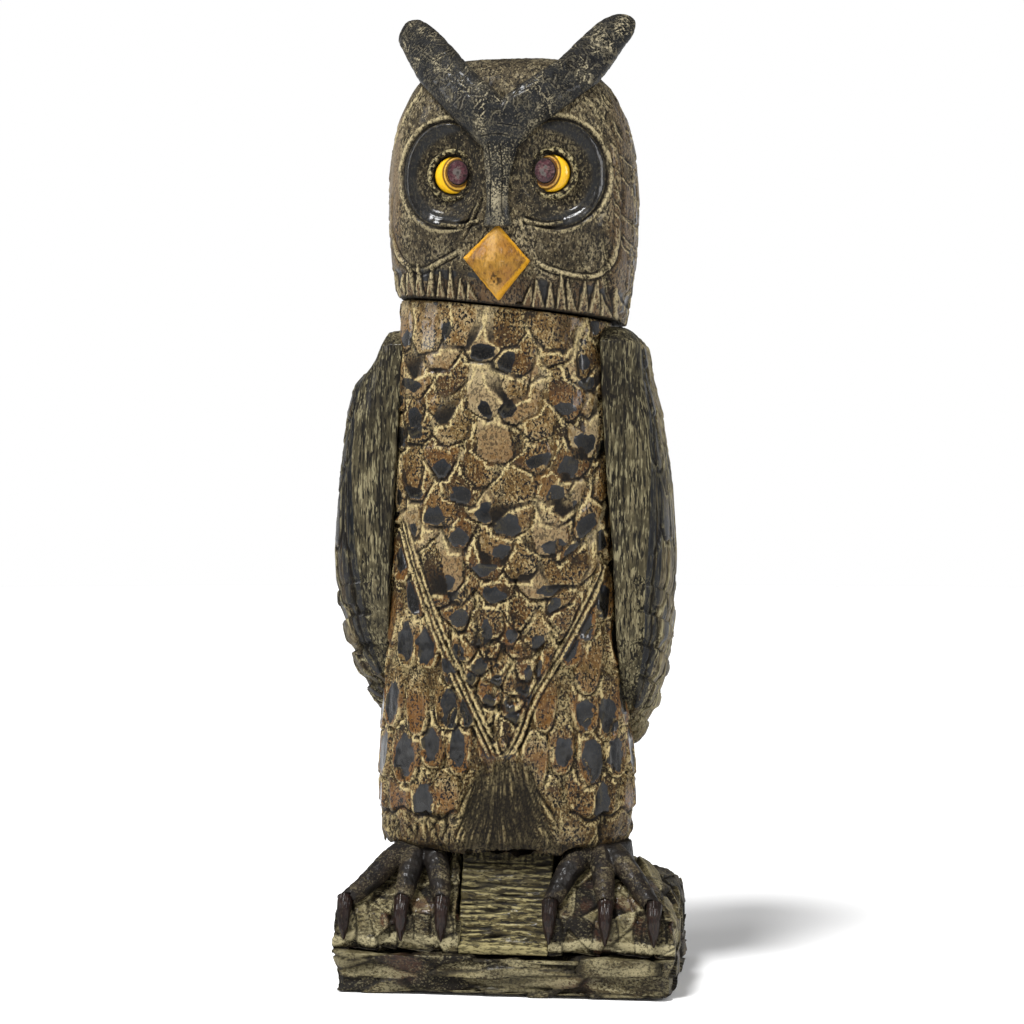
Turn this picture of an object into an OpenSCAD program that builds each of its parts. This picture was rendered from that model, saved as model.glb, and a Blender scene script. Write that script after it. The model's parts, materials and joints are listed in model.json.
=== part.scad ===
// Carved owl statue: blocks of wood carved apart, then pegged and glued on dowels.
// The owl faces -Y. The origin is the centre of the underside of the base.

/* [Base] */
// Width of the base slab
base_w = 172; // [166:1:176]
// Sideways place of the middle of the base
base_x = 4; // [2:0.5:6]
// Depth of the base slab
base_d = 120; // [116:1:124]
// Thickness of the base slab
slab_h = 20; // [18:1:22]
// Height of the flat edge of the rocks above the floor
rock_edge_z = 42; // [40:1:44]
// Height of the top of the rocks above the floor
rock_top_z = 64; // [62:1:65]
// Width of the post between the feet
post_w = 46; // [42:1:48]

/* [Body] */
// Height of the underside of the trunk
trunk_z = 72; // [71:1:74]
// Sideways place of the middle of the trunk
trunk_x = -1; // [-2:0.5:1]
// Height of the neck joint on the middle line
neck_z = 344; // [342:1:346]
// Sideways slope of the neck joint, in degrees
neck_tilt = 6.5; // [4:0.5:8]
// Sideways place of the head
head_x = 3; // [1:0.5:4]
// Height of the crown of the head
crown_z = 471; // [469:1:473]

/* [Wings] */
// Reach of the right wing to the side
right_reach = 85; // [83:0.5:87]
// Reach of the left wing to the side
left_reach = 90; // [86:0.5:91]
// Height of the lowest feather tip of the right wing
right_tip_z = 120; // [118:1:128]
// Height of the lowest feather tip of the left wing
left_tip_z = 136; // [130:1:140]

/* [Face] */
// Height of the eyes
eye_z = 409; // [407:1:411]
// Distance from the middle of the face to each eye
eye_gap = 24.8; // [24:0.2:25.6]
// Radius of the painted eyeball
eye_r = 9.6; // [9:0.1:10]
// Outer radius of the ring round each eye
eye_ring_r = 13.4; // [13:0.1:13.8]
// Radius of the hollow round each eye
disc_r = 25; // [24:0.5:26]
// Depth of the hollow round each eye
disc_depth = 7; // [6:0.5:7.5]
// Height of the top of the right ear tuft, the highest point
tuft_z = 494.5; // [493:0.5:496]

/* [Dowels] */
// Radius of the neck dowel
neck_dowel_r = 12.5; // [10:0.5:14]
// Radius of the post dowels
post_dowel_r = 6; // [5:0.5:7]
// Radius of the wing, leg, tail and base dowels
dowel_r = 4; // [3:0.5:4.5]
// Radius of the brow and beak pegs
peg_r = 3; // [2:0.5:3.5]

/* [Hidden] */
$fn = 48;

glue_gap = 0.1;      // radial room for glue round every dowel
end_gap = 0.5;       // room at the blind end of every dowel bore
section_sides = 40;  // points round the trunk and the head
wing_sides = 20;     // points round the outside of a wing
sweep_sides = 12;    // points round a toe, a claw or a tuft
steps = 3;           // rings between two stated rings
far = 200;           // reach of a cutting block, past every solid

rock_front = -(base_d / 2 - 6);
rock_back = base_d / 2 - 4;
eye_x = [head_x - eye_gap, head_x + eye_gap];
disc_x = [eye_x[0] - 3, eye_x[1] + 3];
disc_turn = 12;      // outward turn of the hollow round each eye, in degrees
face_y = -50;        // the face at the eyes
eye_seat_y = -41.5;  // the bottom of the recess that holds an eye and its ring
eye_stem = 16;       // length of the stem that holds an eye in the head
eye_stem_r = 4.9;    // radius of that stem
ankles = [[-43, -12], [50, -12]];
post_dowel_y = [-8, 22];
tail_dowel_z = [106, 134];
wing_dowel_z = [205, 290];
wing_dowel_y = 8;
block_power = 0.77;  // roundness of the trunk's section
head_power = 0.58;   // roundness of the head's squarer section

// Rings of the trunk: height, half width, front depth, back depth
trunk_rings = [
    [trunk_z, 61.5, 38, 38],
    [trunk_z + 4, 65, 41, 41],
    [96, 66, 42, 44],
    [115, 65.5, 43, 45],
    [150, 63.5, 44, 47],
    [200, 60.5, 47, 48],
    [250, 58.5, 49, 48],
    [295, 57.5, 49, 46],
    [325, 56.5, 46, 43],
    [neck_z + 14, 52.5, 41, 39],
];

// Rings of the head: height, half width, front depth, back depth
head_rings = [
    [neck_z - 14, 56, 45, 42],
    [neck_z + 10, 59, 48, 46],
    [375, 62, 50.5, 50],
    [400, 63, 51, 52],
    [422, 61.8, 50.5, 52],
    [438, 59, 49, 50],
    [449, 54.5, 46.5, 47],
    [459, 49, 43, 43],
    [466, 41, 37, 37],
    [crown_z, 29, 27, 27],
];

// Rings of a wing: height, inner face, outer face, front and back, for the right side
function wing_rings(tip, reach) = [
    [tip, 61.5, reach - 20, 13, 22],
    [tip + 4, 61.3, reach - 16.5, 8, 27],
    [tip + 12, 61, reach - 13, 0, 33],
    [tip + 17, 60.6, reach - 11.5, -4, 36],
    [tip + 19, 60.5, reach - 9, -8, 38],
    [tip + 34, 59.5, reach - 6, -17, 43],
    [tip + 36, 59.4, reach - 4, -19, 44],
    [tip + 54, 58.5, reach - 2.5, -26, 47],
    [tip + 56, 58.4, reach - 1, -27, 47.5],
    [220, 57, reach, -31, 49],
    [260, 54, reach - 2.5, -33, 50],
    [290, 52, reach - 6.5, -33, 48],
    [neck_z - 32, 51, reach - 12, -31, 44],
    [neck_z - 18, 50.4, reach - 19, -26, 38],
    [neck_z - 11, 50.2, reach - 26, -16, 28],
    [neck_z - 9, 50.1, 55, -6, 20],
];

// Middle line and radius of a toe, from the ankle to the claw, through three sideways places
function toe_rows(ankle_x, x1, x2, x3) = [
    [ankle_x, -20, trunk_z - 4, 8.5],
    [x1, rock_front + 22, rock_top_z - 1, 6.5],
    [x2, rock_front + 11, rock_edge_z + 10.5, 5.4],
    [x3, rock_front + 2, rock_edge_z + 2.5, 4.1],
];
left_outer_toe = toe_rows(-44, -55, -66, -76);
left_middle_toe = toe_rows(-43, -44.5, -46, -47);
left_inner_toe = toe_rows(-40, -33, -29, -26.5);
right_outer_toe = toe_rows(52, 62, 72, 79.5);
right_middle_toe = toe_rows(50, 52, 54, 55.5);
right_inner_toe = toe_rows(47, 38, 31.5, 27.5);

// Middle line and radius of the ear tufts and of the ridge down to the beak: x, y, z, radius
left_tuft = [[3, -50, 429, 12], [-7.5, -50, 440, 12], [-20, -45, 452.5, 11.5], [-31, -34, 465.5, 11.5],
             [-41.5, -20, 479.5, 10], [-49, -11, 488, 8], [-52.5, -7, tuft_z - 4, 4.5]];
right_tuft = [[3, -50, 429, 12], [13.5, -50, 439, 11], [26, -46, 448.5, 11], [38, -36, 459, 11],
              [46, -25, 470.5, 10.5], [54, -15, 482.5, 9], [61, -9, 489.5, 6.5], [65, -6, tuft_z - 2, 2]];
nose_ridge = [[3, -50, 429, 11], [2.5, -50.5, 419, 8.5], [1.5, -51, 407, 6.5], [1.5, -51, 394, 6],
              [1.5, -51, 382, 7.5]];

// Beak outline on the face, as x and z: top, right, bottom, left
beak_outline = [[1.5, 383.5], [17.5, 365], [1.5, neck_z + 1.5], [-16, 367]];
beak_back_y = -43;
beak_edge_y = -51;
beak_ridge = [[1.5, -55, 379.5], [1.5, -60, 363.5], [1.5, -54.5, neck_z + 5]];

function unit(v) = v / norm(v);

// A point on the curve through the rows p, t of the way from row i to row i + 1
function curve_at(p, i, t) =
    let (a = p[max(i - 1, 0)], b = p[i], c = p[min(i + 1, len(p) - 1)], d = p[min(i + 2, len(p) - 1)])
    0.5 * (2 * b + (c - a) * t + (2 * a - 5 * b + 4 * c - d) * t * t + (3 * b - a - 3 * c + d) * t * t * t);
function curve(p, n) = concat([for (i = [0 : len(p) - 2], k = [0 : n - 1]) curve_at(p, i, k / n)],
                              [p[len(p) - 1]]);

// Closed skin over rings that all have the same number of points
module skin(rings) {
    sides = len(rings[0]);
    last = len(rings) - 1;
    points = [for (ring = rings, p = ring) p];
    walls = [for (i = [0 : last - 1], k = [0 : sides - 1])
             let (a = i * sides + k, b = i * sides + (k + 1) % sides)
             each [[a, a + sides, b], [b, a + sides, b + sides]]];
    polyhedron(points, concat([[for (k = [0 : sides - 1]) k]], walls,
                              [[for (k = [sides - 1 : -1 : 0]) last * sides + k]]));
}

// A cosine or sine pushed out towards the corners of a square
function squared(v, power) = sign(v) * pow(abs(v), power);

// Rounded-square section: front is -Y
function block_section(row, x0, power) =
    [for (k = [0 : section_sides - 1])
        let (a = 360 * k / section_sides)
        [x0 + row[1] * squared(sin(a), power),
         (cos(a) > 0 ? -row[2] : row[3]) * abs(squared(cos(a), power)), row[0]]];

// D-shaped section: a flat inner face and a rounded outside
function wing_section(row) =
    [for (k = [0 : wing_sides])
        let (a = 180 * k / wing_sides)
        [row[1] + (row[2] - row[1]) * squared(sin(a), 0.6),
         (row[3] + row[4]) / 2 - (row[4] - row[3]) / 2 * squared(cos(a), 0.6), row[0]]];

// Tapered limb along a curve of x, y, z, radius; depth is its thickness against its width
module limb(rows, depth = 1, power = 1) {
    path = curve(rows, steps);
    last = len(path) - 1;
    function at(i) = [path[i][0], path[i][1], path[i][2]];
    skin([for (i = [0 : last])
        let (along = unit(at(min(i + 1, last)) - at(max(i - 1, 0))),
             side = unit(cross(along, [0, -1, 0])), out = cross(side, along))
        [for (k = [0 : sweep_sides - 1])
            let (a = -360 * k / sweep_sides)
            at(i) + path[i][3] * (squared(cos(a), power) * side + depth * squared(sin(a), power) * out)]]);
}

// Everything above the neck joint, or everything below it
module neck_half(above) {
    translate([0, 0, neck_z]) rotate([0, neck_tilt, 0])
        translate([-far, -far, above ? 0 : -2 * far]) cube(2 * far);
}

// Upright dowel from one height to another, made larger by grow to cut its bore
module upright(x, y, low, high, r, grow = 0) {
    translate([x, y, low - (grow > 0 ? end_gap : 0)])
        cylinder(r = r + grow, h = high - low + (grow > 0 ? 2 * end_gap : 0));
}

// Level dowel along a direction from its start, made larger by grow to cut its bore
module level(start, turn, length, r, grow = 0) {
    translate(start) rotate(turn)
        translate([0, 0, -(grow > 0 ? end_gap : 0)])
            cylinder(r = r + grow, h = length + (grow > 0 ? 2 * end_gap : 0));
}

module neck_dowels(grow = 0) {
    upright(head_x / 2, 0, neck_z - 32, neck_z + 32, neck_dowel_r, grow);
}

module post_pins(grow = 0) {
    for (y = post_dowel_y) upright(base_x, y, trunk_z - 30, trunk_z + 30, post_dowel_r, grow);
}

module leg_pins(grow = 0) {
    for (a = ankles) upright(a[0], a[1], rock_top_z - 16, trunk_z + 18, dowel_r, grow);
}

module wing_pins(side, grow = 0) {
    for (z = wing_dowel_z) level([side * 38, wing_dowel_y, z], [0, side * 90, 0], 32, dowel_r, grow);
}

module tail_pins(grow = 0) {
    for (z = tail_dowel_z) level([0, 28, z], [-90, 0, 0], 20, dowel_r, grow);
}

module base_pins(grow = 0) {
    for (x = [-68, -40, 40, 68]) upright(base_x + x, 20, slab_h - 12, slab_h + 12, dowel_r, grow);
    for (y = [-25, 36]) upright(base_x, y, slab_h - 12, slab_h + 12, dowel_r, grow);
}

module brow_pins(grow = 0) {
    for (x = [-14, 22]) level([x, -51, 446], [-90, 0, 0], 24, peg_r, grow);
}

module beak_pin(grow = 0) {
    level([1.5, -55, 365], [-90, 0, 0], 24, peg_r, grow);
}

// Slab with its long edges sawn a little off square, as a hand-cut board has them
module base_slab() {
    corner = 5;
    color("#5c5136") difference() {
        translate([base_x, 0, 0]) intersection() {
            linear_extrude(slab_h) polygon([
                [-base_w / 2 + corner, -base_d / 2], [base_w / 2 - corner, -base_d / 2],
                [base_w / 2, -base_d / 2 + corner], [base_w / 2, base_d / 2 - corner],
                [base_w / 2 - corner, base_d / 2], [-base_w / 2 + corner, base_d / 2],
                [-base_w / 2, base_d / 2 - corner], [-base_w / 2, -base_d / 2 + corner]]);
            translate([0, far / 2, 0]) rotate([90, 0, 0]) linear_extrude(far) polygon([
                [-base_w / 2 + 2, 0], [base_w / 2 - 1, 0], [base_w / 2, 3],
                [base_w / 2, slab_h], [-base_w / 2, slab_h], [-base_w / 2, 6]]);
        }
        base_pins(glue_gap);
    }
}

// Rock under one foot, from its front outline and its side outline
module rock_blank(side) {
    inner = post_w / 2;
    outer = base_w / 2;
    translate([base_x, 0, 0]) intersection() {
        translate([0, far / 2, 0]) rotate([90, 0, 0]) linear_extrude(far) polygon([
            for (p = [[inner, slab_h], [outer, slab_h], [outer, slab_h + 12], [outer - 1.5, rock_edge_z - 2],
                      [outer - 5, rock_edge_z + 5], [outer - 18, rock_top_z - 7], [outer - 30, rock_top_z],
                      [inner + 6, rock_top_z], [inner, rock_top_z - 8]])
                [side * p[0], p[1]]]);
        translate([-far / 2, 0, 0]) rotate([90, 0, 90]) linear_extrude(far) polygon([
            [rock_front, slab_h], [rock_front, rock_edge_z - 3], [rock_front + 5, rock_edge_z + 1],
            [rock_front + 30, rock_top_z], [6, rock_top_z], [34, rock_edge_z + 9],
            [rock_back, rock_edge_z], [rock_back, slab_h]]);
    }
}

module rock(side) {
    color("#7a6f49") difference() {
        rock_blank(side);
        base_pins(glue_gap);
        leg_pins(glue_gap);
    }
}

// Post between the feet: its front is a ramp
module post() {
    color("#75693f") difference() {
        translate([base_x - post_w / 2, 0, 0]) rotate([90, 0, 90]) linear_extrude(post_w) polygon([
            [rock_front, slab_h], [rock_front, slab_h + 4], [rock_front + 3, slab_h + 6],
            [rock_front + 20, trunk_z - 12], [rock_front + 22, trunk_z], [34, trunk_z],
            [42, rock_edge_z], [rock_back, rock_edge_z - 4], [rock_back, slab_h]]);
        base_pins(glue_gap);
        post_pins(glue_gap);
    }
}

module wing_blank(side) {
    rings = side > 0 ? wing_rings(right_tip_z, right_reach) : wing_rings(left_tip_z, left_reach);
    mirror([side > 0 ? 0 : 1, 0, 0]) skin([for (row = rings) wing_section(row)]);
}

module wing(side) {
    color(side > 0 ? "#4b4a36" : "#35332a") difference() {
        wing_blank(side);
        wing_pins(side, glue_gap);
    }
}

// Tail board: lies against the lower back and hangs clear of the rocks
module tail_blank() {
    rotate([90, 0, 90]) translate([0, 0, -27]) linear_extrude(54) polygon([
        [36, 156], [41, 158], [50, 140], [57, 92], [58, 62], [55, 56], [50, 58], [46, 76], [38, 100]]);
}

module tail_board() {
    intersection() {
        tail_blank();
        translate([0, far / 2, 0]) rotate([90, 0, 0]) linear_extrude(far) polygon([
            [-19, 158], [19, 158], [26, 110], [27, 72], [21, 60], [10, 56], [-10, 56], [-21, 60],
            [-27, 72], [-26, 110]]);
    }
}

module tail() {
    color("#4a4432") difference() {
        tail_board();
        tail_pins(glue_gap);
    }
}

module trunk() {
    color("#6e5230") difference() {
        skin([for (row = curve(trunk_rings, steps)) block_section(row, trunk_x, block_power)]);
        neck_half(true);
        for (side = [-1, 1]) {
            wing_blank(side);
            wing_pins(side, glue_gap);
        }
        tail_board();
        tail_pins(glue_gap);
        neck_dowels(glue_gap);
        post_pins(glue_gap);
        leg_pins(glue_gap);
    }
}

module head_blank() {
    difference() {
        skin([for (row = curve(head_rings, steps)) block_section(row, head_x, head_power)]);
        neck_half(false);
    }
}

// Shallow round hollow cut by a large ball in front of the face, turned a little outward
module disc_hollow(i) {
    ball_r = (disc_r * disc_r + disc_depth * disc_depth) / (2 * disc_depth);
    outward = i == 0 ? -disc_turn : disc_turn;
    translate([disc_x[i], face_y, eye_z]) rotate([0, 0, outward])
        translate([0, disc_depth - ball_r, 0]) sphere(r = ball_r, $fn = 96);
}

// Round recess of an eye, from in front of the face to a depth behind the eye's seat
module eye_recess(i, r, depth) {
    translate([eye_x[i], eye_seat_y + depth, eye_z]) rotate([90, 0, 0]) cylinder(r = r, h = 30 + depth);
}

module head() {
    color("#3f382a") difference() {
        head_blank();
        for (i = [0, 1]) {
            disc_hollow(i);
            eye_recess(i, eye_ring_r + glue_gap, 0);
            eye_recess(i, eye_stem_r + glue_gap, eye_stem + end_gap);
        }
        beak_solid();
        brow_pins(glue_gap);
        beak_pin(glue_gap);
        neck_dowels(glue_gap);
    }
}

// Brow: two ear tufts and the ridge between the eyes, carved as one piece
module brow_tufts() {
    color("#24252a") difference() {
        union() {
            limb(left_tuft, 0.6, 0.75);
            limb(right_tuft, 0.6, 0.75);
            limb(nose_ridge, 0.6);
        }
        head_blank();
        beak_solid();
        brow_pins(glue_gap);
    }
}

module beak_solid() {
    back = [for (p = beak_outline) [p[0], beak_back_y, p[1]]];
    edge = [for (p = beak_outline) [p[0], beak_edge_y, p[1]]];
    points = concat(back, edge, beak_ridge);
    polyhedron(points, [
        [3, 2, 1, 0],
        [1, 5, 4, 0], [2, 6, 5, 1], [3, 7, 6, 2], [0, 4, 7, 3],
        [5, 8, 4], [5, 9, 8], [5, 10, 9], [5, 6, 10],
        [8, 7, 4], [9, 7, 8], [10, 7, 9], [6, 7, 10]]);
}

module beak() {
    color("#b8842a") difference() {
        beak_solid();
        beak_pin(glue_gap);
    }
}

// Ring round an eye, seated in its round recess
module eye_ring(i) {
    color("#8a7a52") translate([eye_x[i], eye_seat_y, eye_z]) rotate([90, 0, 0])
        rotate_extrude($fn = 64) polygon([
            [eye_r + 0.2, 0], [eye_ring_r, 0], [eye_ring_r, 4], [eye_ring_r - 1.6, 6.5],
            [eye_r + 1.6, 6.5], [eye_r + 0.2, 4.5]]);
}

// Painted eyeball on a stem, with a round pocket for the pupil
module eye(i) {
    color("#d9a520") difference() {
        translate([eye_x[i], eye_seat_y, eye_z]) rotate([90, 0, 0])
            rotate_extrude($fn = 64) polygon(concat(
                [[0, -eye_stem], [eye_stem_r, -eye_stem], [eye_stem_r, 0], [eye_r, 0]],
                [for (a = [0 : 10 : 90]) [eye_r * cos(a), 3 + 4.5 * sin(a)]]));
        pupil_blank(i);
    }
}

module pupil_blank(i) {
    toward_beak = i == 0 ? 1 : -1;
    translate([eye_x[i] + 2.8 * toward_beak, eye_seat_y - 8, eye_z + 0.8])
        rotate([-90, 0, 0]) cylinder(r = 5.4, h = 4);
}

module pupil(i) {
    color("#4a2f33") pupil_blank(i);
}

// Foot: an ankle and three toes, cut away where the rock is
module foot(side) {
    ankle = ankles[side > 0 ? 1 : 0];
    toes = side > 0 ? [right_outer_toe, right_middle_toe, right_inner_toe]
                    : [left_outer_toe, left_middle_toe, left_inner_toe];
    color("#2b231d") difference() {
        union() {
            translate([ankle[0], ankle[1], rock_top_z - 4])
                cylinder(r1 = 16.5, r2 = 15, h = trunk_z - rock_top_z + 4);
            for (toe = toes) limb(toe);
        }
        rock_blank(side);
        translate([-far, -far, trunk_z]) cube(2 * far);
        for (toe = toes) claw_blank(toe);
        leg_pins(glue_gap);
    }
}

// Claw: curves down over the front of the rock from the end of its toe
module claw_blank(toe) {
    end = toe[len(toe) - 1];
    limb([[end[0], end[1] + 2, end[2] + 2, 5], [end[0], end[1] - 2.6, end[2] - 4, 4.4],
          [end[0], end[1] - 3.4, end[2] - 12, 3.4], [end[0], end[1] - 2.8, end[2] - 19, 1.3]]);
}

module claw(toe, side) {
    color("#3a1d14") difference() {
        claw_blank(toe);
        rock_blank(side);
    }
}

base_slab();
rock(-1);  // rock_left
rock(1);  // rock_right
post();
trunk();
tail();
head();
brow_tufts();
beak();
eye_ring(0);  // eye_ring_left
eye_ring(1);  // eye_ring_right
eye(0);  // eye_left
eye(1);  // eye_right
pupil(0);  // pupil_left
pupil(1);  // pupil_right
wing(-1);  // wing_left
wing(1);  // wing_right
foot(-1);  // foot_left
foot(1);  // foot_right
claw(left_outer_toe, -1);  // claw_left_outer
claw(left_middle_toe, -1);  // claw_left_middle
claw(left_inner_toe, -1);  // claw_left_inner
claw(right_outer_toe, 1);  // claw_right_outer
claw(right_middle_toe, 1);  // claw_right_middle
claw(right_inner_toe, 1);  // claw_right_inner
color("#a9834f") neck_dowels();  // neck_dowel
color("#a9834f") post_pins();  // post_dowels
color("#a9834f") leg_pins();  // leg_dowels
color("#a9834f") wing_pins(-1);  // wing_dowels_left
color("#a9834f") wing_pins(1);  // wing_dowels_right
color("#a9834f") tail_pins();  // tail_dowels
color("#a9834f") base_pins();  // base_dowels
color("#a9834f") brow_pins();  // brow_pegs
color("#a9834f") beak_pin();  // beak_peg
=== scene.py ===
"""Carved and painted wooden owl: the carver's cuts and the paint, laid over the pegged blocks of the frame.

Every block is cut from a dense blank of the frame's own shape. A blank's points are moved by the depth of
the cuts, in millimetres, and each point keeps what the paint needs to know: how deep in a groove it lies, how
much dry paint its edge has caught, and which patch of colour it belongs to.
"""

import json
import logging
import math
from dataclasses import dataclass
from enum import Enum
from typing import Callable, Iterable, Iterator, Optional, Sequence, Union

import bpy
import numpy as np
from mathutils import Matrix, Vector
from mathutils.bvhtree import BVHTree

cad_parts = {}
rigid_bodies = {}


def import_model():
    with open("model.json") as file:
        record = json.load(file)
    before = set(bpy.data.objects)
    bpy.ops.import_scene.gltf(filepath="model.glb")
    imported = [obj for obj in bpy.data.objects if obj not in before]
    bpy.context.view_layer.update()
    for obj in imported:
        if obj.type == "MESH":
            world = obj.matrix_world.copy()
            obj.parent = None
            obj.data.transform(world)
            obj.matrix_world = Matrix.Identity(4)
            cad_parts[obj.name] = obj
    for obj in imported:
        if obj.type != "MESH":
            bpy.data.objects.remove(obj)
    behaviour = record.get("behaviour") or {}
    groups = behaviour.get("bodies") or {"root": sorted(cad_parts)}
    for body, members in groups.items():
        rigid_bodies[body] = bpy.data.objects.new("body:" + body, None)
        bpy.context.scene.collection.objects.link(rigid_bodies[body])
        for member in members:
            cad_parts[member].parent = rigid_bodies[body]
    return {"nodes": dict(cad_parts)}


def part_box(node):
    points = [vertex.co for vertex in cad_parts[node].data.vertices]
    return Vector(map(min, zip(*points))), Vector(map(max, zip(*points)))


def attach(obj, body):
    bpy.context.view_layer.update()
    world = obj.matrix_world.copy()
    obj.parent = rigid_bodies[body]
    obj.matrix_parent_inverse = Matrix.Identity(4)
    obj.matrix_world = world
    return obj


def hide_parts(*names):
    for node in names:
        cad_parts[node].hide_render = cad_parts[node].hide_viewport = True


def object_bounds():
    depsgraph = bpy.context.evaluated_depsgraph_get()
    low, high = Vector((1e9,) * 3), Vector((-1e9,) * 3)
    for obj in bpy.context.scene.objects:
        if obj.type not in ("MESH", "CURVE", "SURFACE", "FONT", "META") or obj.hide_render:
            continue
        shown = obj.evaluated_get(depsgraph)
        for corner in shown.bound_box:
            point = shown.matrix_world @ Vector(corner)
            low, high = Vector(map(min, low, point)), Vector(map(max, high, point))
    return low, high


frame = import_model()
CAD_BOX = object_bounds()

MM = 0.001
BODY = "root"
log = logging.getLogger("owl")

Array = np.ndarray
Colour = tuple[int, int, int]
Point2 = tuple[float, float]


class Side(Enum):
    """The owl's sides as seen from in front, by the sign of X."""

    LEFT = -1
    RIGHT = 1

    @property
    def word(self) -> str:
        """The side's name as the frame's nodes spell it."""
        return self.name.lower()


# ---------------------------------------------------------------------------------------------- numbers


def smooth(value: Array, low: float, high: float) -> Array:
    """Ease from 0 to 1.

    Args:
        value: Numbers to ease.
        low: Where the result leaves 0.
        high: Where the result reaches 1.

    Returns:
        The eased numbers.
    """
    t = np.clip((value - low) / (high - low), 0.0, 1.0)
    return t * t * (3.0 - 2.0 * t)


def falling(value: Array, full: float, none: float) -> Array:
    """Ease from 1 up to one value down to 0 from a higher one."""
    return smooth(-value, -none, -full)


def on_line(gap: Array, full: float, none: float) -> Array:
    """Ease from 1 within a distance of a line to 0 past a greater one; the gap may be signed."""
    return falling(np.abs(gap), full, none)


def ripple(points: Array, cell: Union[float, Sequence[float]], seed: int) -> Array:
    """Smooth lattice noise.

    Args:
        points: Places in millimetres, one row each.
        cell: Size of a cell of the lattice, in millimetres, the same or different along each axis.
        seed: Chooses the pattern.

    Returns:
        One number from -1 to 1 for each place.
    """
    scaled = points / np.asarray(cell, float)
    base = np.floor(scaled).astype(np.int64)
    part = scaled - base
    part = part * part * (3.0 - 2.0 * part)
    total = np.zeros(len(points))
    for corner in np.ndindex(2, 2, 2):
        knot = base + np.array(corner)
        mixed = knot[:, 0] * 73856093 ^ knot[:, 1] * 19349663 ^ knot[:, 2] * 83492791 ^ seed * 39916801
        mixed = (mixed ^ (mixed >> 13)) * 1274126177 & 0xFFFFFFFF
        weight = np.prod(np.where(corner, part, 1.0 - part), axis=1)
        total += weight * (((mixed >> 7) & 0xFFFF) / 32767.5 - 1.0)
    return total


def through(points: Sequence[Point2], share: int = 8) -> Array:
    """Smooth curve through a few stated points.

    Args:
        points: The stated points.
        share: Steps between two of them.

    Returns:
        The curve's points, one row each.
    """
    p = np.asarray(points, float)
    ends = np.vstack([2 * p[0] - p[1], p, 2 * p[-1] - p[-2]])
    rows = []
    for a, b, c, d in zip(ends[:-3], ends[1:-2], ends[2:-1], ends[3:]):
        for t in np.arange(share) / share:
            rows.append(0.5 * (2 * b + (c - a) * t + (2 * a - 5 * b + 4 * c - d) * t**2
                               + (3 * b - a - 3 * c + d) * t**3))
    rows.append(p[-1])
    return np.array(rows)


def from_line(flat: Array, line: Array) -> tuple[Array, Array]:
    """Distance of places on a flat from a line.

    Args:
        flat: Places, one row of two numbers each.
        line: The line's points, in order.

    Returns:
        The signed distance (positive on the right of the line's direction), and the place of the nearest
        point along the line, from 0 to 1.
    """
    best = np.full(len(flat), 1e9)
    signed = np.full(len(flat), 1e9)
    along = np.zeros(len(flat))
    lengths = np.linalg.norm(np.diff(line, axis=0), axis=1)
    run = np.concatenate([[0.0], np.cumsum(lengths)])
    for i, (a, b) in enumerate(zip(line[:-1], line[1:])):
        step = b - a
        rel = flat - a
        t = np.clip(rel @ step / max(step @ step, 1e-9), 0.0, 1.0)
        gap = rel - t[:, None] * step
        distance = np.hypot(gap[:, 0], gap[:, 1])
        side = np.sign(rel[:, 0] * step[1] - rel[:, 1] * step[0])
        near = distance < best
        best[near] = distance[near]
        signed[near] = (distance * np.where(side == 0, 1, side))[near]
        along[near] = ((run[i] + t * lengths[i]) / run[-1])[near]
    return signed, along


# ---------------------------------------------------------------------------------------------- blanks


def points_of(mesh: bpy.types.Mesh) -> Array:
    """Place of every point of a mesh, in millimetres.

    Args:
        mesh: The mesh.

    Returns:
        One row for each point.
    """
    flat = np.empty(len(mesh.vertices) * 3, np.float32)
    mesh.vertices.foreach_get("co", flat)
    return flat.reshape(-1, 3).astype(float) / MM


def put_points(mesh: bpy.types.Mesh, places: Array) -> None:
    """Move every point of a mesh to its place, in millimetres."""
    mesh.vertices.foreach_set("co", (places * MM).astype(np.float32).ravel())
    mesh.update()


def only(obj: bpy.types.Object) -> None:
    """Select one object and nothing else, and make it active.

    Args:
        obj: The object to select.
    """
    for other in bpy.context.view_layer.objects:
        other.select_set(False)
    obj.select_set(True)
    bpy.context.view_layer.objects.active = obj


def edit(obj: bpy.types.Object, *steps: Callable[[], object]) -> None:
    """Run edit-mode steps on the whole of one object.

    Args:
        obj: The object to edit.
        steps: Operators to run, in order, on all of its points.
    """
    only(obj)
    bpy.ops.object.mode_set(mode="EDIT")
    bpy.ops.mesh.select_all(action="SELECT")
    for step in steps:
        step()
    bpy.ops.object.mode_set(mode="OBJECT")


def apply_modifier(obj: bpy.types.Object, kind: str, **settings: object) -> None:
    """Add one modifier and apply it.

    Args:
        obj: The object to change.
        kind: Blender's type name of the modifier.
        settings: Its settings.
    """
    only(obj)
    modifier = obj.modifiers.new(kind.title(), kind)
    for key, value in settings.items():
        setattr(modifier, key, value)
    bpy.ops.object.modifier_apply(modifier=modifier.name)


def node_copy(node: str, name: str) -> bpy.types.Object:
    """Copy a node of the frame as a closed blank of its own.

    Args:
        node: The frame's node.
        name: Name of the new piece.

    Returns:
        The copy, with its points merged.
    """
    source = frame["nodes"][node]
    mesh = source.data.copy()
    mesh.materials.clear()
    obj = bpy.data.objects.new(name, mesh)
    mesh.name = name
    bpy.context.scene.collection.objects.link(obj)
    edit(obj, lambda: bpy.ops.mesh.remove_doubles(threshold=0.00001))
    return obj


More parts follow.
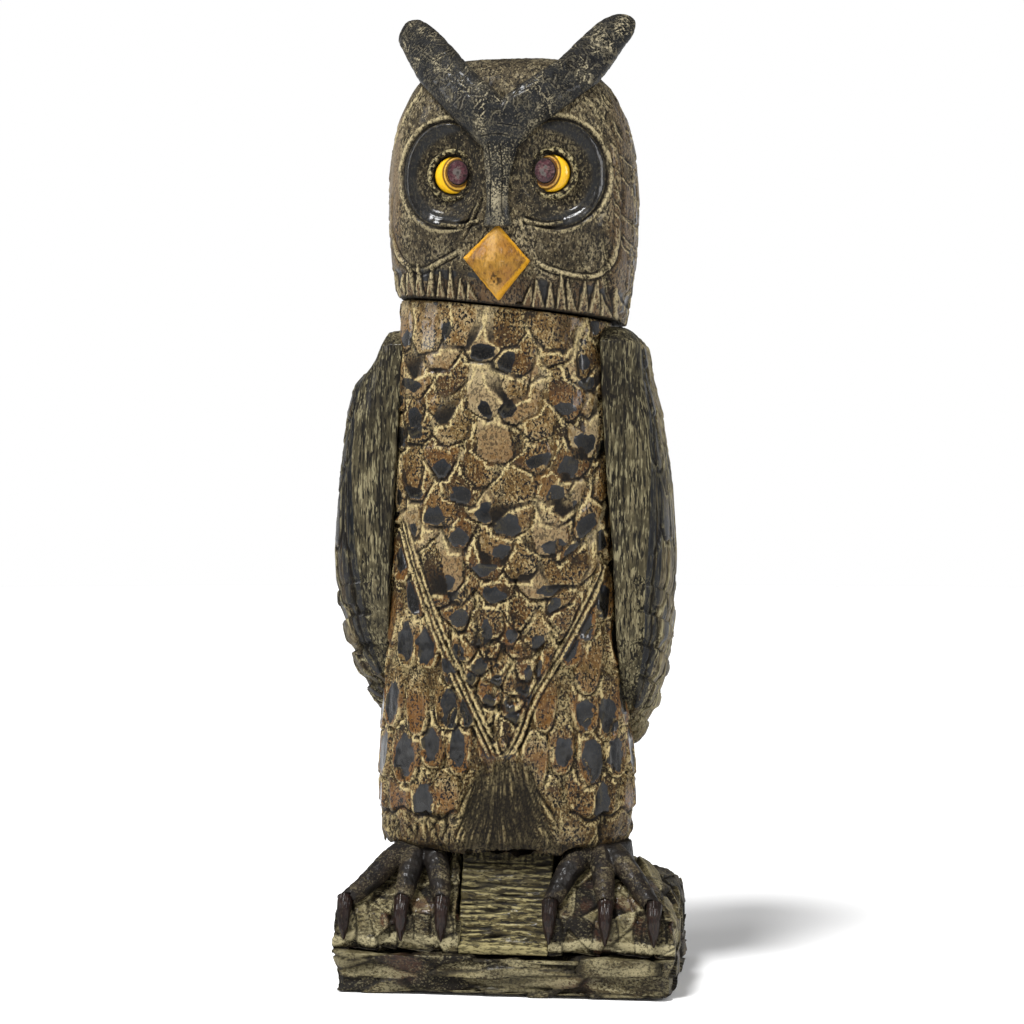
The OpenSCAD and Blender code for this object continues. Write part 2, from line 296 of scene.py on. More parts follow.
def remeshed(node: str, name: str, voxel: float, soften: int = 0) -> bpy.types.Object:
    """Dense, even blank of a node's shape.

    Args:
        node: The frame's node.
        name: Name of the new piece.
        voxel: Size of its squares, in millimetres.
        soften: Rounds of smoothing, which take the saw marks off.

    Returns:
        The blank.
    """
    obj = node_copy(node, name)
    apply_modifier(obj, "REMESH", mode="VOXEL", voxel_size=voxel * MM, use_smooth_shade=True)
    if soften:
        apply_modifier(obj, "SMOOTH", factor=0.5, iterations=soften)
    return obj


def tree_of(obj: bpy.types.Object) -> BVHTree:
    """Search tree of a mesh, in millimetres.

    Args:
        obj: The object to search.

    Returns:
        The tree.
    """
    verts = [v.co / MM for v in obj.data.vertices]
    return BVHTree.FromPolygons(verts, [tuple(p.vertices) for p in obj.data.polygons])


def even_out(table: Array, reach: int) -> Array:
    """Average a table of radii over its neighbours; the columns run round, so they wrap.

    Args:
        table: Rows up the block, columns round it.
        reach: How many neighbours on each side count.

    Returns:
        The averaged table.
    """
    for _ in range(2):
        table = sum(np.roll(table, k, axis=1) for k in range(-reach, reach + 1)) / (2 * reach + 1)
        padded = np.pad(table, ((reach, reach), (0, 0)), mode="edge")
        table = sum(padded[k:k + len(table)] for k in range(2 * reach + 1)) / (2 * reach + 1)
    return table


@dataclass
class Wrap:
    """A sheet wrapped round a block: its columns run round the block and its rows up it."""

    name: str
    columns: int
    rows: int
    turns: Sequence[Point2]      # share of the columns, and the angle round from the front, in degrees
    soften: int = 2

    def sheet(self) -> tuple[bpy.types.Object, Array, Array]:
        """Add the flat sheet.

        Returns:
            The sheet, and the column and row of each of its points.
        """
        bpy.ops.object.select_all(action="DESELECT")
        bpy.ops.mesh.primitive_grid_add(x_subdivisions=self.columns, y_subdivisions=self.rows, size=1)
        obj = bpy.context.active_object
        obj.name = obj.data.name = self.name
        flat = np.array([v.co[:2] for v in obj.data.vertices]) + 0.5
        column, row = np.rint(flat * [self.columns, self.rows]).astype(int).T
        return obj, column, row

    def angles(self) -> Array:
        """Angle of every column, in radians: 0 is the front and +90 degrees is +X."""
        shares, degrees = zip(*self.turns)
        return np.radians(np.interp(np.linspace(0, 1, self.columns + 1), shares, degrees))

    def close(self, obj: bpy.types.Object, places: Array) -> None:
        """Put the sheet's points in place, join its seam and cap its ends.

        Args:
            obj: The sheet.
            places: Place of each point, in millimetres.
        """
        put_points(obj.data, places)
        edit(obj,
             lambda: bpy.ops.mesh.remove_doubles(threshold=0.00002),
             lambda: bpy.ops.mesh.fill_holes(sides=0),
             lambda: bpy.ops.mesh.normals_make_consistent(inside=False))
        only(obj)
        bpy.ops.object.shade_smooth()

    def upright(self, tree: BVHTree, axis_x: float, low: float, top: Callable[[Array], Array]
                ) -> bpy.types.Object:
        """Wrap the sheet round an upright block, by level rays towards its axis.

        Args:
            tree: The block's own surface.
            axis_x: Sideways place of the axis.
            low: Height of the lowest row.
            top: Height of the highest row at a sideways place.

        Returns:
            The closed blank.
        """
        obj, column, row = self.sheet()
        angles = self.angles()
        rays = np.column_stack([np.sin(angles), -np.cos(angles)])
        far = 150.0

        def radius(i: int, z: float) -> float:
            """Radius of the block in one direction at one height."""
            start = Vector((axis_x + rays[i, 0] * far, rays[i, 1] * far, z))
            hit = tree.ray_cast(start, Vector((-rays[i, 0], -rays[i, 1], 0.0)))
            return far - hit[3] if hit[0] is not None else np.nan

        rim = np.array([radius(i, top(axis_x) - 14) for i in range(self.columns + 1)])
        tops = top(axis_x + rim * rays[:, 0])
        share = np.linspace(0, 1, self.rows + 1)
        heights = low + share[:, None] * (tops - low)[None, :]
        inset = 0.15
        table = np.array([[radius(i, np.clip(heights[j, i], low + inset, tops[i] - inset))
                           for i in range(self.columns)] for j in range(self.rows + 1)])
        for j in range(1, self.rows + 1):
            table[j] = np.where(np.isnan(table[j]), table[j - 1], table[j])
        table = even_out(table, self.soften)
        table = np.column_stack([table, table[:, 0]])
        r = table[row, column]
        self.close(obj, np.column_stack([axis_x + r * rays[column, 0], r * rays[column, 1],
                                         heights[row, column]]))
        return obj

    def ball(self, tree: BVHTree, middle: Vector, lifts: Sequence[Point2]) -> bpy.types.Object:
        """Wrap the sheet round a block on all sides, by rays towards its middle.

        Args:
            tree: The block's own surface.
            middle: The point that the rays meet in, in millimetres.
            lifts: Share of the rows, and the angle above level, in degrees.

        Returns:
            The closed blank.
        """
        obj, column, row = self.sheet()
        angles = self.angles()
        shares, degrees = zip(*lifts)
        lift = np.radians(np.interp(np.linspace(0, 1, self.rows + 1), shares, degrees))
        far = 200.0
        table = np.empty((self.rows + 1, self.columns))
        for j, up in enumerate(lift):
            for i in range(self.columns):
                ray = Vector((math.sin(angles[i]) * math.cos(up), -math.cos(angles[i]) * math.cos(up),
                              math.sin(up)))
                hit = tree.ray_cast(middle + ray * far, -ray)
                table[j, i] = far - hit[3]
        table[0] = table[0].mean()
        table[-1] = table[-1].mean()
        table = even_out(table, self.soften)
        table[0] = table[0].mean()
        table[-1] = table[-1].mean()
        table = np.column_stack([table, table[:, 0]])
        r = table[row, column]
        a, up = angles[column], lift[row]
        self.close(obj, np.array(middle) + np.column_stack([
            r * np.sin(a) * np.cos(up), -r * np.cos(a) * np.cos(up), r * np.sin(up)]))
        return obj


# ---------------------------------------------------------------------------------------------- cuts


@dataclass
class Feather:
    """One carved feather on a flat: it hangs from its root, and its tip stands proud of the next row."""

    u: float
    v: float
    half: float
    length: float
    turn: float = 0.0       # lean of the feather, in radians; positive swings the tip towards +u
    shoulder: float = 0.5   # share of the length at which the sides turn in to the tip
    blunt: float = 0.15     # share of the width left at the tip
    power: float = 1.0      # 1 for straight cuts to the tip, less for a rounder tip
    rim: float = 0.5        # dry paint along the tip
    oval: bool = False
    lift: float = 1.5
    sway: float = 0.0       # how much one side stands higher than the other
    bevel: tuple[float, float, float] = (0.3, 0.3, 0.3)   # slopes of the left, right and tip facets
    crown: float = 0.9      # most that the facets rise
    band: float = 0.9       # width of the standing rim
    scoop: float = 0.0      # how far the middle is hollowed behind that rim
    tone: float = 0.5
    warm: float = 0.3
    patch: float = 0.0
    patch_at: tuple[float, float] = (0.0, 0.72)
    patch_size: tuple[float, float] = (0.55, 0.24)

    def outline(self, du: Array, dv: Array) -> tuple[Array, Array, Array]:
        """Where places lie on the feather.

        Args:
            du: Sideways distance of every place from the root.
            dv: Upward distance of every place from the root.

        Returns:
            The place across the feather from -1 to 1, the place down it from 0 to 1, and the distance inside
            its outline in millimetres.
        """
        c, s = math.cos(self.turn), math.sin(self.turn)
        across = (du * c + dv * s) / self.half
        down = (du * s - dv * c) / self.length
        if self.oval:
            width = np.sqrt(np.clip(1 - (2 * np.clip(down, 0, 1) - 1) ** 2, 0, 1)) ** 0.75
        else:
            taper = np.clip((1 - down) / (1 - self.shoulder), 0, 1) ** self.power
            width = np.where(down < self.shoulder, 1.0, self.blunt + (1 - self.blunt) * taper)
        inside = np.minimum((width - np.abs(across)) * self.half, (1 - down) * self.length)
        inside = np.minimum(inside, down * self.length if self.oval else (down + 0.5) * self.length)
        return across, down, inside

    def height(self, across: Array, down: Array, inside: Array, floor: float, wall: float) -> Array:
        """Height of the carved feather.

        Args:
            across: Place across the feather.
            down: Place down the feather.
            inside: Distance inside the outline.
            floor: Depth between the feathers.
            wall: Width of the steep side.

        Returns:
            The height at every place.
        """
        facets = np.minimum.reduce([
            self.bevel[0] * (across + 1) * self.half, self.bevel[1] * (1 - across) * self.half,
            self.bevel[2] * (1 - down) * self.length, np.full(len(down), self.crown)])
        body = self.lift * np.clip(down, 0, 1) + facets + self.sway * across - floor * 0.55
        height = floor + smooth(inside, 0.0, wall) * body
        height -= self.scoop * smooth(inside, self.band * 1.2, self.band * 1.2 + 2.4)
        return np.where(inside > 0, height, floor - 1)

    def paint(self, across: Array, down: Array, inside: Array, rough: Array) -> dict[str, Array]:
        """Paint of the feather: the dark patch with its painted sheen, the stain, and the dry paint on its
        rim.

        Args:
            across: Place across the feather.
            down: Place down the feather.
            inside: Distance inside the outline.
            rough: Noise that makes the patch's edge ragged.

        Returns:
            The amount of each layer at every place.
        """
        sa = (across - self.patch_at[0]) / self.patch_size[0]
        sd = (down - self.patch_at[1]) / self.patch_size[1]
        spot = np.hypot(sa, sd) if self.oval else np.maximum.reduce(
            [np.abs(sa), np.abs(sd), 0.75 * np.abs(sa + sd), 0.7 * np.abs(sa - sd)])
        mask = smooth(-spot - 0.3 * rough, -1.15, -0.85) * smooth(inside, 0.1, 0.5)
        rim = smooth(-np.abs(inside - self.band), -self.band * 1.1, -self.band * 0.3)
        # The patch is black at its foot and lower towards its top, where it shows a painted sheen.
        return {"patch": self.patch * mask * (0.42 + 0.58 * smooth(sd, -1.0, 0.8)),
                "tone": np.full(len(down), self.tone), "warm": self.warm * smooth(down, 0.1, 0.55),
                "edge": rim * smooth(down, 0.3, 0.8) * self.rim}


def brick(heights: Iterable[float], columns: Iterable[int], pitch: float) -> Iterator[Point2]:
    """Roots of feathers in level rows, every other row shifted by half a feather.

    Args:
        heights: Height of each row.
        columns: Number of each feather along a row.
        pitch: Distance from one feather to the next.

    Yields:
        The sideways place and the height of each root.
    """
    for number, z in enumerate(heights):
        for k in columns:
            yield (k + 0.5 * (number % 2)) * pitch, z


class Skin:
    """The surface of one blank in millimetres, with the depth of the cuts and the paint of every point."""

    # groove: dark cuts and the painted shadows beside feather tips; shade: painted shade and some darker
    # paint; patch: dark patches and their painted sheen
    PAINT = ("groove", "edge", "patch", "tone", "warm", "shade")
    MOST_RISE = 1.4     # how far a cut surface may stand over its blank

    def __init__(self, obj: bpy.types.Object) -> None:
        """Read the blank.

        Args:
            obj: The blank to cut.
        """
        self.obj = obj
        self.co = points_of(obj.data)
        count = len(self.co)
        flat = np.empty(count * 3, np.float32)
        obj.data.vertex_normals.foreach_get("vector", flat)
        self.normal = flat.reshape(-1, 3).astype(float)
        self.depth = np.zeros(count)
        self.groove = np.zeros(count)
        self.edge = np.zeros(count)
        self.patch = np.zeros(count)
        self.tone = np.full(count, 0.5)
        self.warm = np.zeros(count)
        self.shade = np.zeros(count)

    @property
    def x(self) -> Array:
        """Sideways place of every point."""
        return self.co[:, 0]

    @property
    def y(self) -> Array:
        """Depth place of every point; the front is negative."""
        return self.co[:, 1]

    @property
    def z(self) -> Array:
        """Height of every point."""
        return self.co[:, 2]

    @property
    def front(self) -> Array:
        """The surface seen from in front, as X and Z."""
        return self.co[:, [0, 2]]

    def ripple(self, cell: Union[float, Sequence[float]], seed: int) -> Array:
        """Smooth noise over the surface, from -1 to 1."""
        return ripple(self.co, cell, seed)

    def more(self, **layers: Array) -> None:
        """Raise layers of the paint to at least the given amounts.

        Args:
            layers: The amounts, by the layer's name.
        """
        for key, amount in layers.items():
            setattr(self, key, np.maximum(getattr(self, key), amount))

    def feathers(self, u: Array, v: Array, rows: Iterable[Feather], where: Array, floor: float = -1.2,
                 wall: float = 0.7) -> None:
        """Carve overlapping feathers.

        Args:
            u: Sideways place of every point on the flat.
            v: Upward place of every point on the flat.
            rows: The feathers; where two meet, the one that stands higher shows.
            where: How much of the carving each point takes, from 0 to 1.
            floor: Depth between the feathers.
            wall: Width of a feather's steep side.
        """
        top = np.full(len(u), floor)
        rim = np.zeros(len(u))
        live = np.flatnonzero(where > 0.01)
        lu, lv = u[live], v[live]
        fields = {key: np.zeros(len(u)) for key in ("patch", "tone", "warm", "edge")}
        fields["tone"] += 0.4
        owner = np.full(len(u), -1)
        reaches = []
        rough = self.ripple(2.6, 77)
        for number, f in enumerate(rows):
            reach = f.length + f.half
            near = live[(np.abs(lu - f.u) < reach) & (np.abs(lv - f.v + f.length / 2) < reach)]
            if not len(near):
                continue
            across, down, inside = f.outline(u[near] - f.u, v[near] - f.v)
            height = f.height(across, down, inside, floor, wall)
            win = height > top[near]
            hit = near[win]
            top[hit] = height[win]
            rim[hit] = inside[win]
            owner[hit] = number
            reaches.append((number, near, inside, down))
            for key, amount in f.paint(across[win], down[win], inside[win], rough[hit]).items():
                fields[key][hit] = amount
        # under: the painted shadow beside each feather's tip, also sunk a little; lip: the pale lip beyond
        # it.
        under, lip = self.overlaps(owner, reaches)
        broken = smooth(self.ripple(4.2, 78), -0.6, 0.05)
        lip *= broken
        under *= 0.6 + 0.4 * smooth(self.ripple(6.0, 79), -0.5, 0.1)
        fields["edge"] = np.maximum(fields["edge"] * broken, lip) * (1 - under)
        top = top - 0.55 * under + 0.35 * lip
        covered = owner >= 0
        self.depth += where * (top * covered + floor * ~covered)
        groove = np.where(covered, np.maximum(under, falling(rim, 0.1, 0.5) * 0.5), 0.45)
        self.more(groove=where * groove, patch=where * fields["patch"], warm=where * fields["warm"],
                  edge=where * fields["edge"] * covered)
        self.tone = self.tone * (1 - where) + fields["tone"] * where

    @staticmethod
    def overlaps(owner: Array, reaches: Iterable[tuple[int, Array, Array, Array]]) -> tuple[Array, Array]:
        """Find the painted shadow lines that feathers throw on the ones that lie over them, and the pale lips
        beyond.

        Args:
            owner: Number of the feather that shows at every point, or -1.
            reaches: Each feather's number, the points near it, their distance inside it and place down it.

        Returns:
            The undercut beside each feather's tip, sunk a little and painted dark as the tip's shadow, and
            the pale lip beyond the undercut.
        """
        under, lip = np.zeros(len(owner)), np.zeros(len(owner))
        for number, near, inside, down in reaches:
            below = (owner[near] > number) & (down > 0.25)
            hit, gap = near[below], -inside[below]
            wide = 0.9 + 1.3 * np.clip(down[below], 0.2, 1.1)
            weight = 0.35 + 0.65 * smooth(down[below], 0.45, 0.85)
            under[hit] = np.maximum(under[hit], weight * falling(gap / wide, 0.25, 1.0))
            lip[hit] = np.maximum(lip[hit], on_line(gap - 2.3, 0.3, 1.3))
        return under, lip

    def cut(self, flat: Array, line: Array, width: float, depth: float, where: Optional[Array] = None,
            pale: float = 0.0) -> None:
        """Cut one V groove along a line.

        Args:
            flat: The flat that the line is drawn on.
            line: The line's points.
            width: Width of the groove at the surface.
            depth: Depth of the groove.
            where: How much of the cut each point takes.
            pale: Dry paint caught on the two edges of the groove.
        """
        where = np.ones(len(flat)) if where is None else where
        signed, along = from_line(flat, line)
        distance = np.abs(signed)
        fade = smooth(along, 0.0, 0.04) * falling(along, 0.96, 1.0)
        shape = np.clip(1 - distance / (width / 2), 0, 1)
        self.depth -= where * fade * depth * shape
        self.more(groove=where * fade * smooth(shape, 0.15, 0.7))
        if pale:
            lip = smooth(-np.abs(distance - width * 0.62), -width * 0.35, -width * 0.08)
            self.more(edge=where * fade * pale * lip)

    def ridge(self, flat: Array, line: Array, width: float, height: float, where: Optional[Array] = None,
              pale: float = 1.0) -> None:
        """Leave one narrow ridge standing along a line, with a groove on each side.

        Args:
            flat: The flat that the line is drawn on.
            line: The line's points.
            width: Width of the ridge.
            height: Height of the ridge.
            where: How much of the ridge each point takes.
            pale: Dry paint on the ridge.
        """
        where = np.ones(len(flat)) if where is None else where
        signed, along = from_line(flat, line)
        fade = where * smooth(along, 0.0, 0.05) * falling(along, 0.95, 1.0)
        distance = np.abs(signed)
        body = smooth(-distance, -width / 2 - 0.35, -width / 2 + 0.35)
        ditch = on_line(distance - width / 2 - 0.9, 0.1, 0.9)
        self.depth = self.depth * (1 - fade * body * 0.85) + fade * body * height
        self.depth -= fade * ditch * 0.8
        self.groove = np.clip(self.groove * (1 - fade * body) + fade * ditch * 0.9 * (1 - body), 0, 1)
        self.edge = np.clip(self.edge * (1 - fade * body) + fade * body * pale, 0, 1)
        self.patch = self.patch * (1 - fade * np.maximum(body, ditch))

    def strokes(self, flat: Array, cuts: Iterable[tuple[Point2, Point2]], width: float, depth: float,
                where: Optional[Array] = None, pale: float = 0.8) -> None:
        """Make many short knife strokes, each deepest at its middle.

        Args:
            flat: The flat that the strokes are drawn on.
            cuts: Start and end of each stroke.
            width: Width of a stroke.
            depth: Depth of a stroke.
            where: How much of the strokes each point takes.
            pale: Dry paint caught beside each stroke.
        """
        where = np.ones(len(flat)) if where is None else where
        live = np.flatnonzero(where > 0.01)
        place = flat[live]
        for start, end in cuts:
            a, b = np.array(start, float), np.array(end, float)
            low, high = np.minimum(a, b) - width * 1.5, np.maximum(a, b) + width * 1.5
            inside = np.all((place > low) & (place < high), axis=1)
            near = live[inside]
            if not len(near):
                continue
            rel, step = flat[near] - a, b - a
            t = np.clip(rel @ step / (step @ step), 0, 1)
            gap = rel - t[:, None] * step
            signed = (rel[:, 0] * step[1] - rel[:, 1] * step[0]) / np.linalg.norm(step)
            distance = np.hypot(gap[:, 0], gap[:, 1])
            fade = np.sqrt(np.clip(1 - (2 * t - 1) ** 2, 0, 1)) * where[near]
            shape = np.clip(1 - distance / (width / 2), 0, 1)
            self.depth[near] -= fade * depth * shape
            self.groove[near] = np.maximum(self.groove[near], fade * smooth(shape, 0.3, 0.85))
            lip = smooth(-np.abs(signed - width * 0.6), -width * 0.4, -width * 0.1) * (distance < width * 1.1)
            self.edge[near] = np.maximum(self.edge[near], fade * pale * lip)

    def chips(self, places: Array, seeds: Array, depth: float, tilt: float, seed: int,
              where: Optional[Array] = None, rim: float = 0.9) -> None:
        """Cover the surface with flat chisel chips, each at its own depth and lean.

        Args:
            places: Place of every point, stretched as the chips are.
            seeds: Middle of each chip, in the same stretched places.
            depth: Most that one chip lies deeper than another.
            tilt: Most that a chip leans, as a slope.
            seed: Chooses depths and leans.
            where: How much of the chips each point takes.
            rim: Width of the line between two chips.
        """
        where = np.ones(len(places)) if where is None else where
        rng = np.random.default_rng(seed)
        level = rng.uniform(-depth, 0, len(seeds))
        lean = rng.uniform(-tilt, tilt, (len(seeds), places.shape[1]))
        shade = rng.uniform(0, 1, len(seeds))
        for start in range(0, len(places), 20000):
            part = slice(start, start + 20000)
            gaps = np.linalg.norm(places[part, None, :] - seeds[None], axis=2)
            order = np.argpartition(gaps, 1, axis=1)[:, :2]
            pair = np.take_along_axis(gaps, order, axis=1)
            swap = pair[:, 0] > pair[:, 1]
            first = np.where(swap, order[:, 1], order[:, 0])
            border = np.abs(pair[:, 1] - pair[:, 0])
            slope = np.einsum("ij,ij->i", places[part] - seeds[first], lean[first])
            w = where[part]
            line = smooth(-border, -rim, -rim * 0.2)
            self.depth[part] += w * (level[first] + slope - 0.5 * line)
            self.groove[part] = np.maximum(self.groove[part], w * line * 0.8)
            ledge = smooth(-np.abs(border - rim * 2.0), -rim * 1.2, -rim * 0.3)
            self.edge[part] = np.maximum(self.edge[part], w * ledge * 0.7 * (shade[first] > 0.4))
            self.tone[part] = self.tone[part] * (1 - w) + shade[first] * w
            self.shade[part] = np.maximum(self.shade[part], w * 0.55 * falling(shade[first], 0.1, 0.4))

    def grain(self, cell: Sequence[float], depth: float, seed: int, where: Union[float, Array] = 1.0) -> None:
        """Raise the wood's grain and the small knife marks.

        Args:
            cell: Size of a mark along each axis.
            depth: Depth of the marks.
            seed: Chooses the pattern.
            where: How much of it each point takes.
        """
        self.depth += depth * where * self.ripple(cell, seed)

    def finish(self, node: Union[str, Sequence[str]], slot: str, material: bpy.types.Material,
               limit: float = 3.2) -> bpy.types.Object:
        """Move the points, store the paint's attributes, and hand the piece to the frame.

        Args:
            node: The frame's node or nodes that the piece stands for.
            slot: The record's material slot; not used.
            material: The piece's paint.
            limit: The most that a point may sink.

        Returns:
            The finished piece.
        """
        depth = np.clip(self.depth, -limit, self.MOST_RISE)
        low, high = (np.array(corner) / MM for corner in CAD_BOX)
        moved = np.clip(self.co + self.normal * depth[:, None], low, high)
        mesh = self.obj.data
        for key in self.PAINT:
            layer = mesh.attributes.new(key, "FLOAT", "POINT")
            layer.data.foreach_set("value", np.clip(getattr(self, key), 0, 1).astype(np.float32))
        put_points(mesh, moved)
        mesh.materials.append(material)
        return hand_over(self.obj, node)


def hand_over(obj: bpy.types.Object, node: Union[str, Sequence[str]]) -> bpy.types.Object:
    """Give a piece to the frame: it rides on the one body and stands for its node.

    Args:
        obj: The piece.
        node: The frame's node or nodes that it stands for.

    Returns:
        The piece.
    """
    nodes = [node] if isinstance(node, str) else list(node)
    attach(obj, BODY)
    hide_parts(*nodes)
    log.info("%s: %d faces, stands for %s", obj.name, len(obj.data.polygons), ", ".join(nodes))
    return obj


# ---------------------------------------------------------------------------------------------- paint


def linear(colour: Colour, gain: float = 1.0) -> tuple[float, float, float, float]:
    """Linear light of an ordinary 0 to 255 colour.

    Args:
        colour: Red, green and blue from 0 to 255.
        gain: Brightens or dims the result.

    Returns:
        Red, green, blue and a full alpha.
    """
    parts = [c / 255 for c in colour]
    light = [p / 12.92 if p <= 0.04045 else ((p + 0.055) / 1.055) ** 2.4 for p in parts]
    return (*[min(1.0, part * gain) for part in light], 1.0)


Number = Union[int, float, "Signal"]


class Signal:
    """One output of a shader node, which takes part in ordinary sums."""

    def __init__(self, paint: "Paint", socket: bpy.types.NodeSocket) -> None:
        """Wrap a socket.

        Args:
            paint: The paint that the node belongs to.
            socket: The node's output.
        """
        self.paint = paint
        self.socket = socket

    def _sum(self, operation: str, a: Number, b: Number) -> "Signal":
        """Add one Math node."""
        return self.paint.out("ShaderNodeMath", {"operation": operation}, {0: a, 1: b})

    def __add__(self, other: Number) -> "Signal":
        """Add."""
        return self._sum("ADD", self, other)

    def __sub__(self, other: Number) -> "Signal":
        """Subtract."""
        return self._sum("SUBTRACT", self, other)

    def __rsub__(self, other: Number) -> "Signal":
        """Subtract from a number."""
        return self._sum("SUBTRACT", other, self)

    def __mul__(self, other: Number) -> "Signal":
        """Multiply."""
        return self._sum("MULTIPLY", self, other)

    __radd__ = __add__
    __rmul__ = __mul__


class Paint:
    """One material in the making."""

    def __init__(self, name: str) -> None:
        """Start with an empty material.

        Args:
            name: The material's name.
        """
        self.material = bpy.data.materials.new(name)
        self.material.use_nodes = True
        self.tree = self.material.node_tree
        self.tree.nodes.clear()

    def node(self, kind: str, settings: dict[str, object], inputs: dict[Union[str, int], object]
             ) -> bpy.types.Node:
        """Add one node.

        Args:
            kind: Blender's type name of the node.
            settings: Its settings, such as an operation.
            inputs: Values or signals of its sockets, by name or number.

        Returns:
            The node.
        """
        made = self.tree.nodes.new(kind)
        for key, value in settings.items():
            setattr(made, key, value)
        for key, value in inputs.items():
            if isinstance(value, Signal):
                self.tree.links.new(value.socket, made.inputs[key])
            else:
                made.inputs[key].default_value = value
        return made

    def out(self, kind: str, settings: dict[str, object], inputs: dict[Union[str, int], object],
            output: Union[str, int] = 0) -> Signal:
        """Add one node and take one of its outputs."""
        return Signal(self, self.node(kind, settings, inputs).outputs[output])

    def layer(self, name: str) -> Signal:
        """One of the numbers that the carving stored on every point."""
        return self.out("ShaderNodeAttribute", {"attribute_name": name}, {}, "Fac")

    def place(self, stretch: Sequence[float] = (1, 1, 1)) -> Signal:
        """Place on the piece, squeezed along an axis to draw a pattern out along it."""
        where = self.out("ShaderNodeTexCoord", {}, {}, "Object")
        return self.out("ShaderNodeVectorMath", {"operation": "MULTIPLY"}, {0: where, 1: tuple(stretch)})

    def noise(self, place: Signal, size: float, detail: float = 2.0, rough: float = 0.5, warp: float = 0.0
              ) -> Signal:
        """Noise around one half.

        Args:
            place: Where to read it.
            size: Size of its blots, in millimetres.
            detail: Levels of finer noise.
            rough: Strength of the finer levels.
            warp: How much it is stirred.

        Returns:
            The noise.
        """
        return self.out("ShaderNodeTexNoise", {}, {"Vector": place, "Scale": 1.0 / (size * MM),
                                                   "Detail": detail, "Roughness": rough, "Distortion": warp})

    def between(self, value: Number, low: float, high: float) -> Signal:
        """Ease a signal from 0 at one value to 1 at another."""
        return self.out("ShaderNodeMapRange", {"interpolation_type": "SMOOTHSTEP"},
                        {"Value": value, "From Min": low, "From Max": high})

    def mix(self, share: Number, under: object, over: object) -> Signal:
        """Lay one colour over another."""
        return self.out("ShaderNodeMix", {"data_type": "RGBA", "clamp_factor": True},
                        {0: share, 6: under, 7: over}, 2)

    def done(self, colour: object, roughness: Number, coat: Number, bump: Optional[Signal],
             bump_depth: float = 0.3, coat_roughness: float = 0.12, specular: float = 0.13
             ) -> bpy.types.Material:
        """Put the surface together.

        Args:
            colour: Base colour.
            roughness: Roughness.
            coat: Share of varnish over it.
            bump: Height of the fine relief, from 0 to 1.
            bump_depth: Depth of that relief, in millimetres.
            coat_roughness: Roughness of the varnish.
            specular: Strength of the plain gloss.

        Returns:
            The material.
        """
        inputs: dict[Union[str, int], object] = {
            "Base Color": colour, "Roughness": roughness, "Coat Weight": coat,
            "Coat Roughness": coat_roughness, "Specular IOR Level": specular}
        if bump is not None:
            inputs["Normal"] = self.out("ShaderNodeBump", {}, {
                "Strength": 0.8, "Distance": bump_depth * MM, "Height": bump})
        surface = self.out("ShaderNodeBsdfPrincipled", {}, inputs)
        self.node("ShaderNodeOutputMaterial", {}, {"Surface": surface})
        return self.material


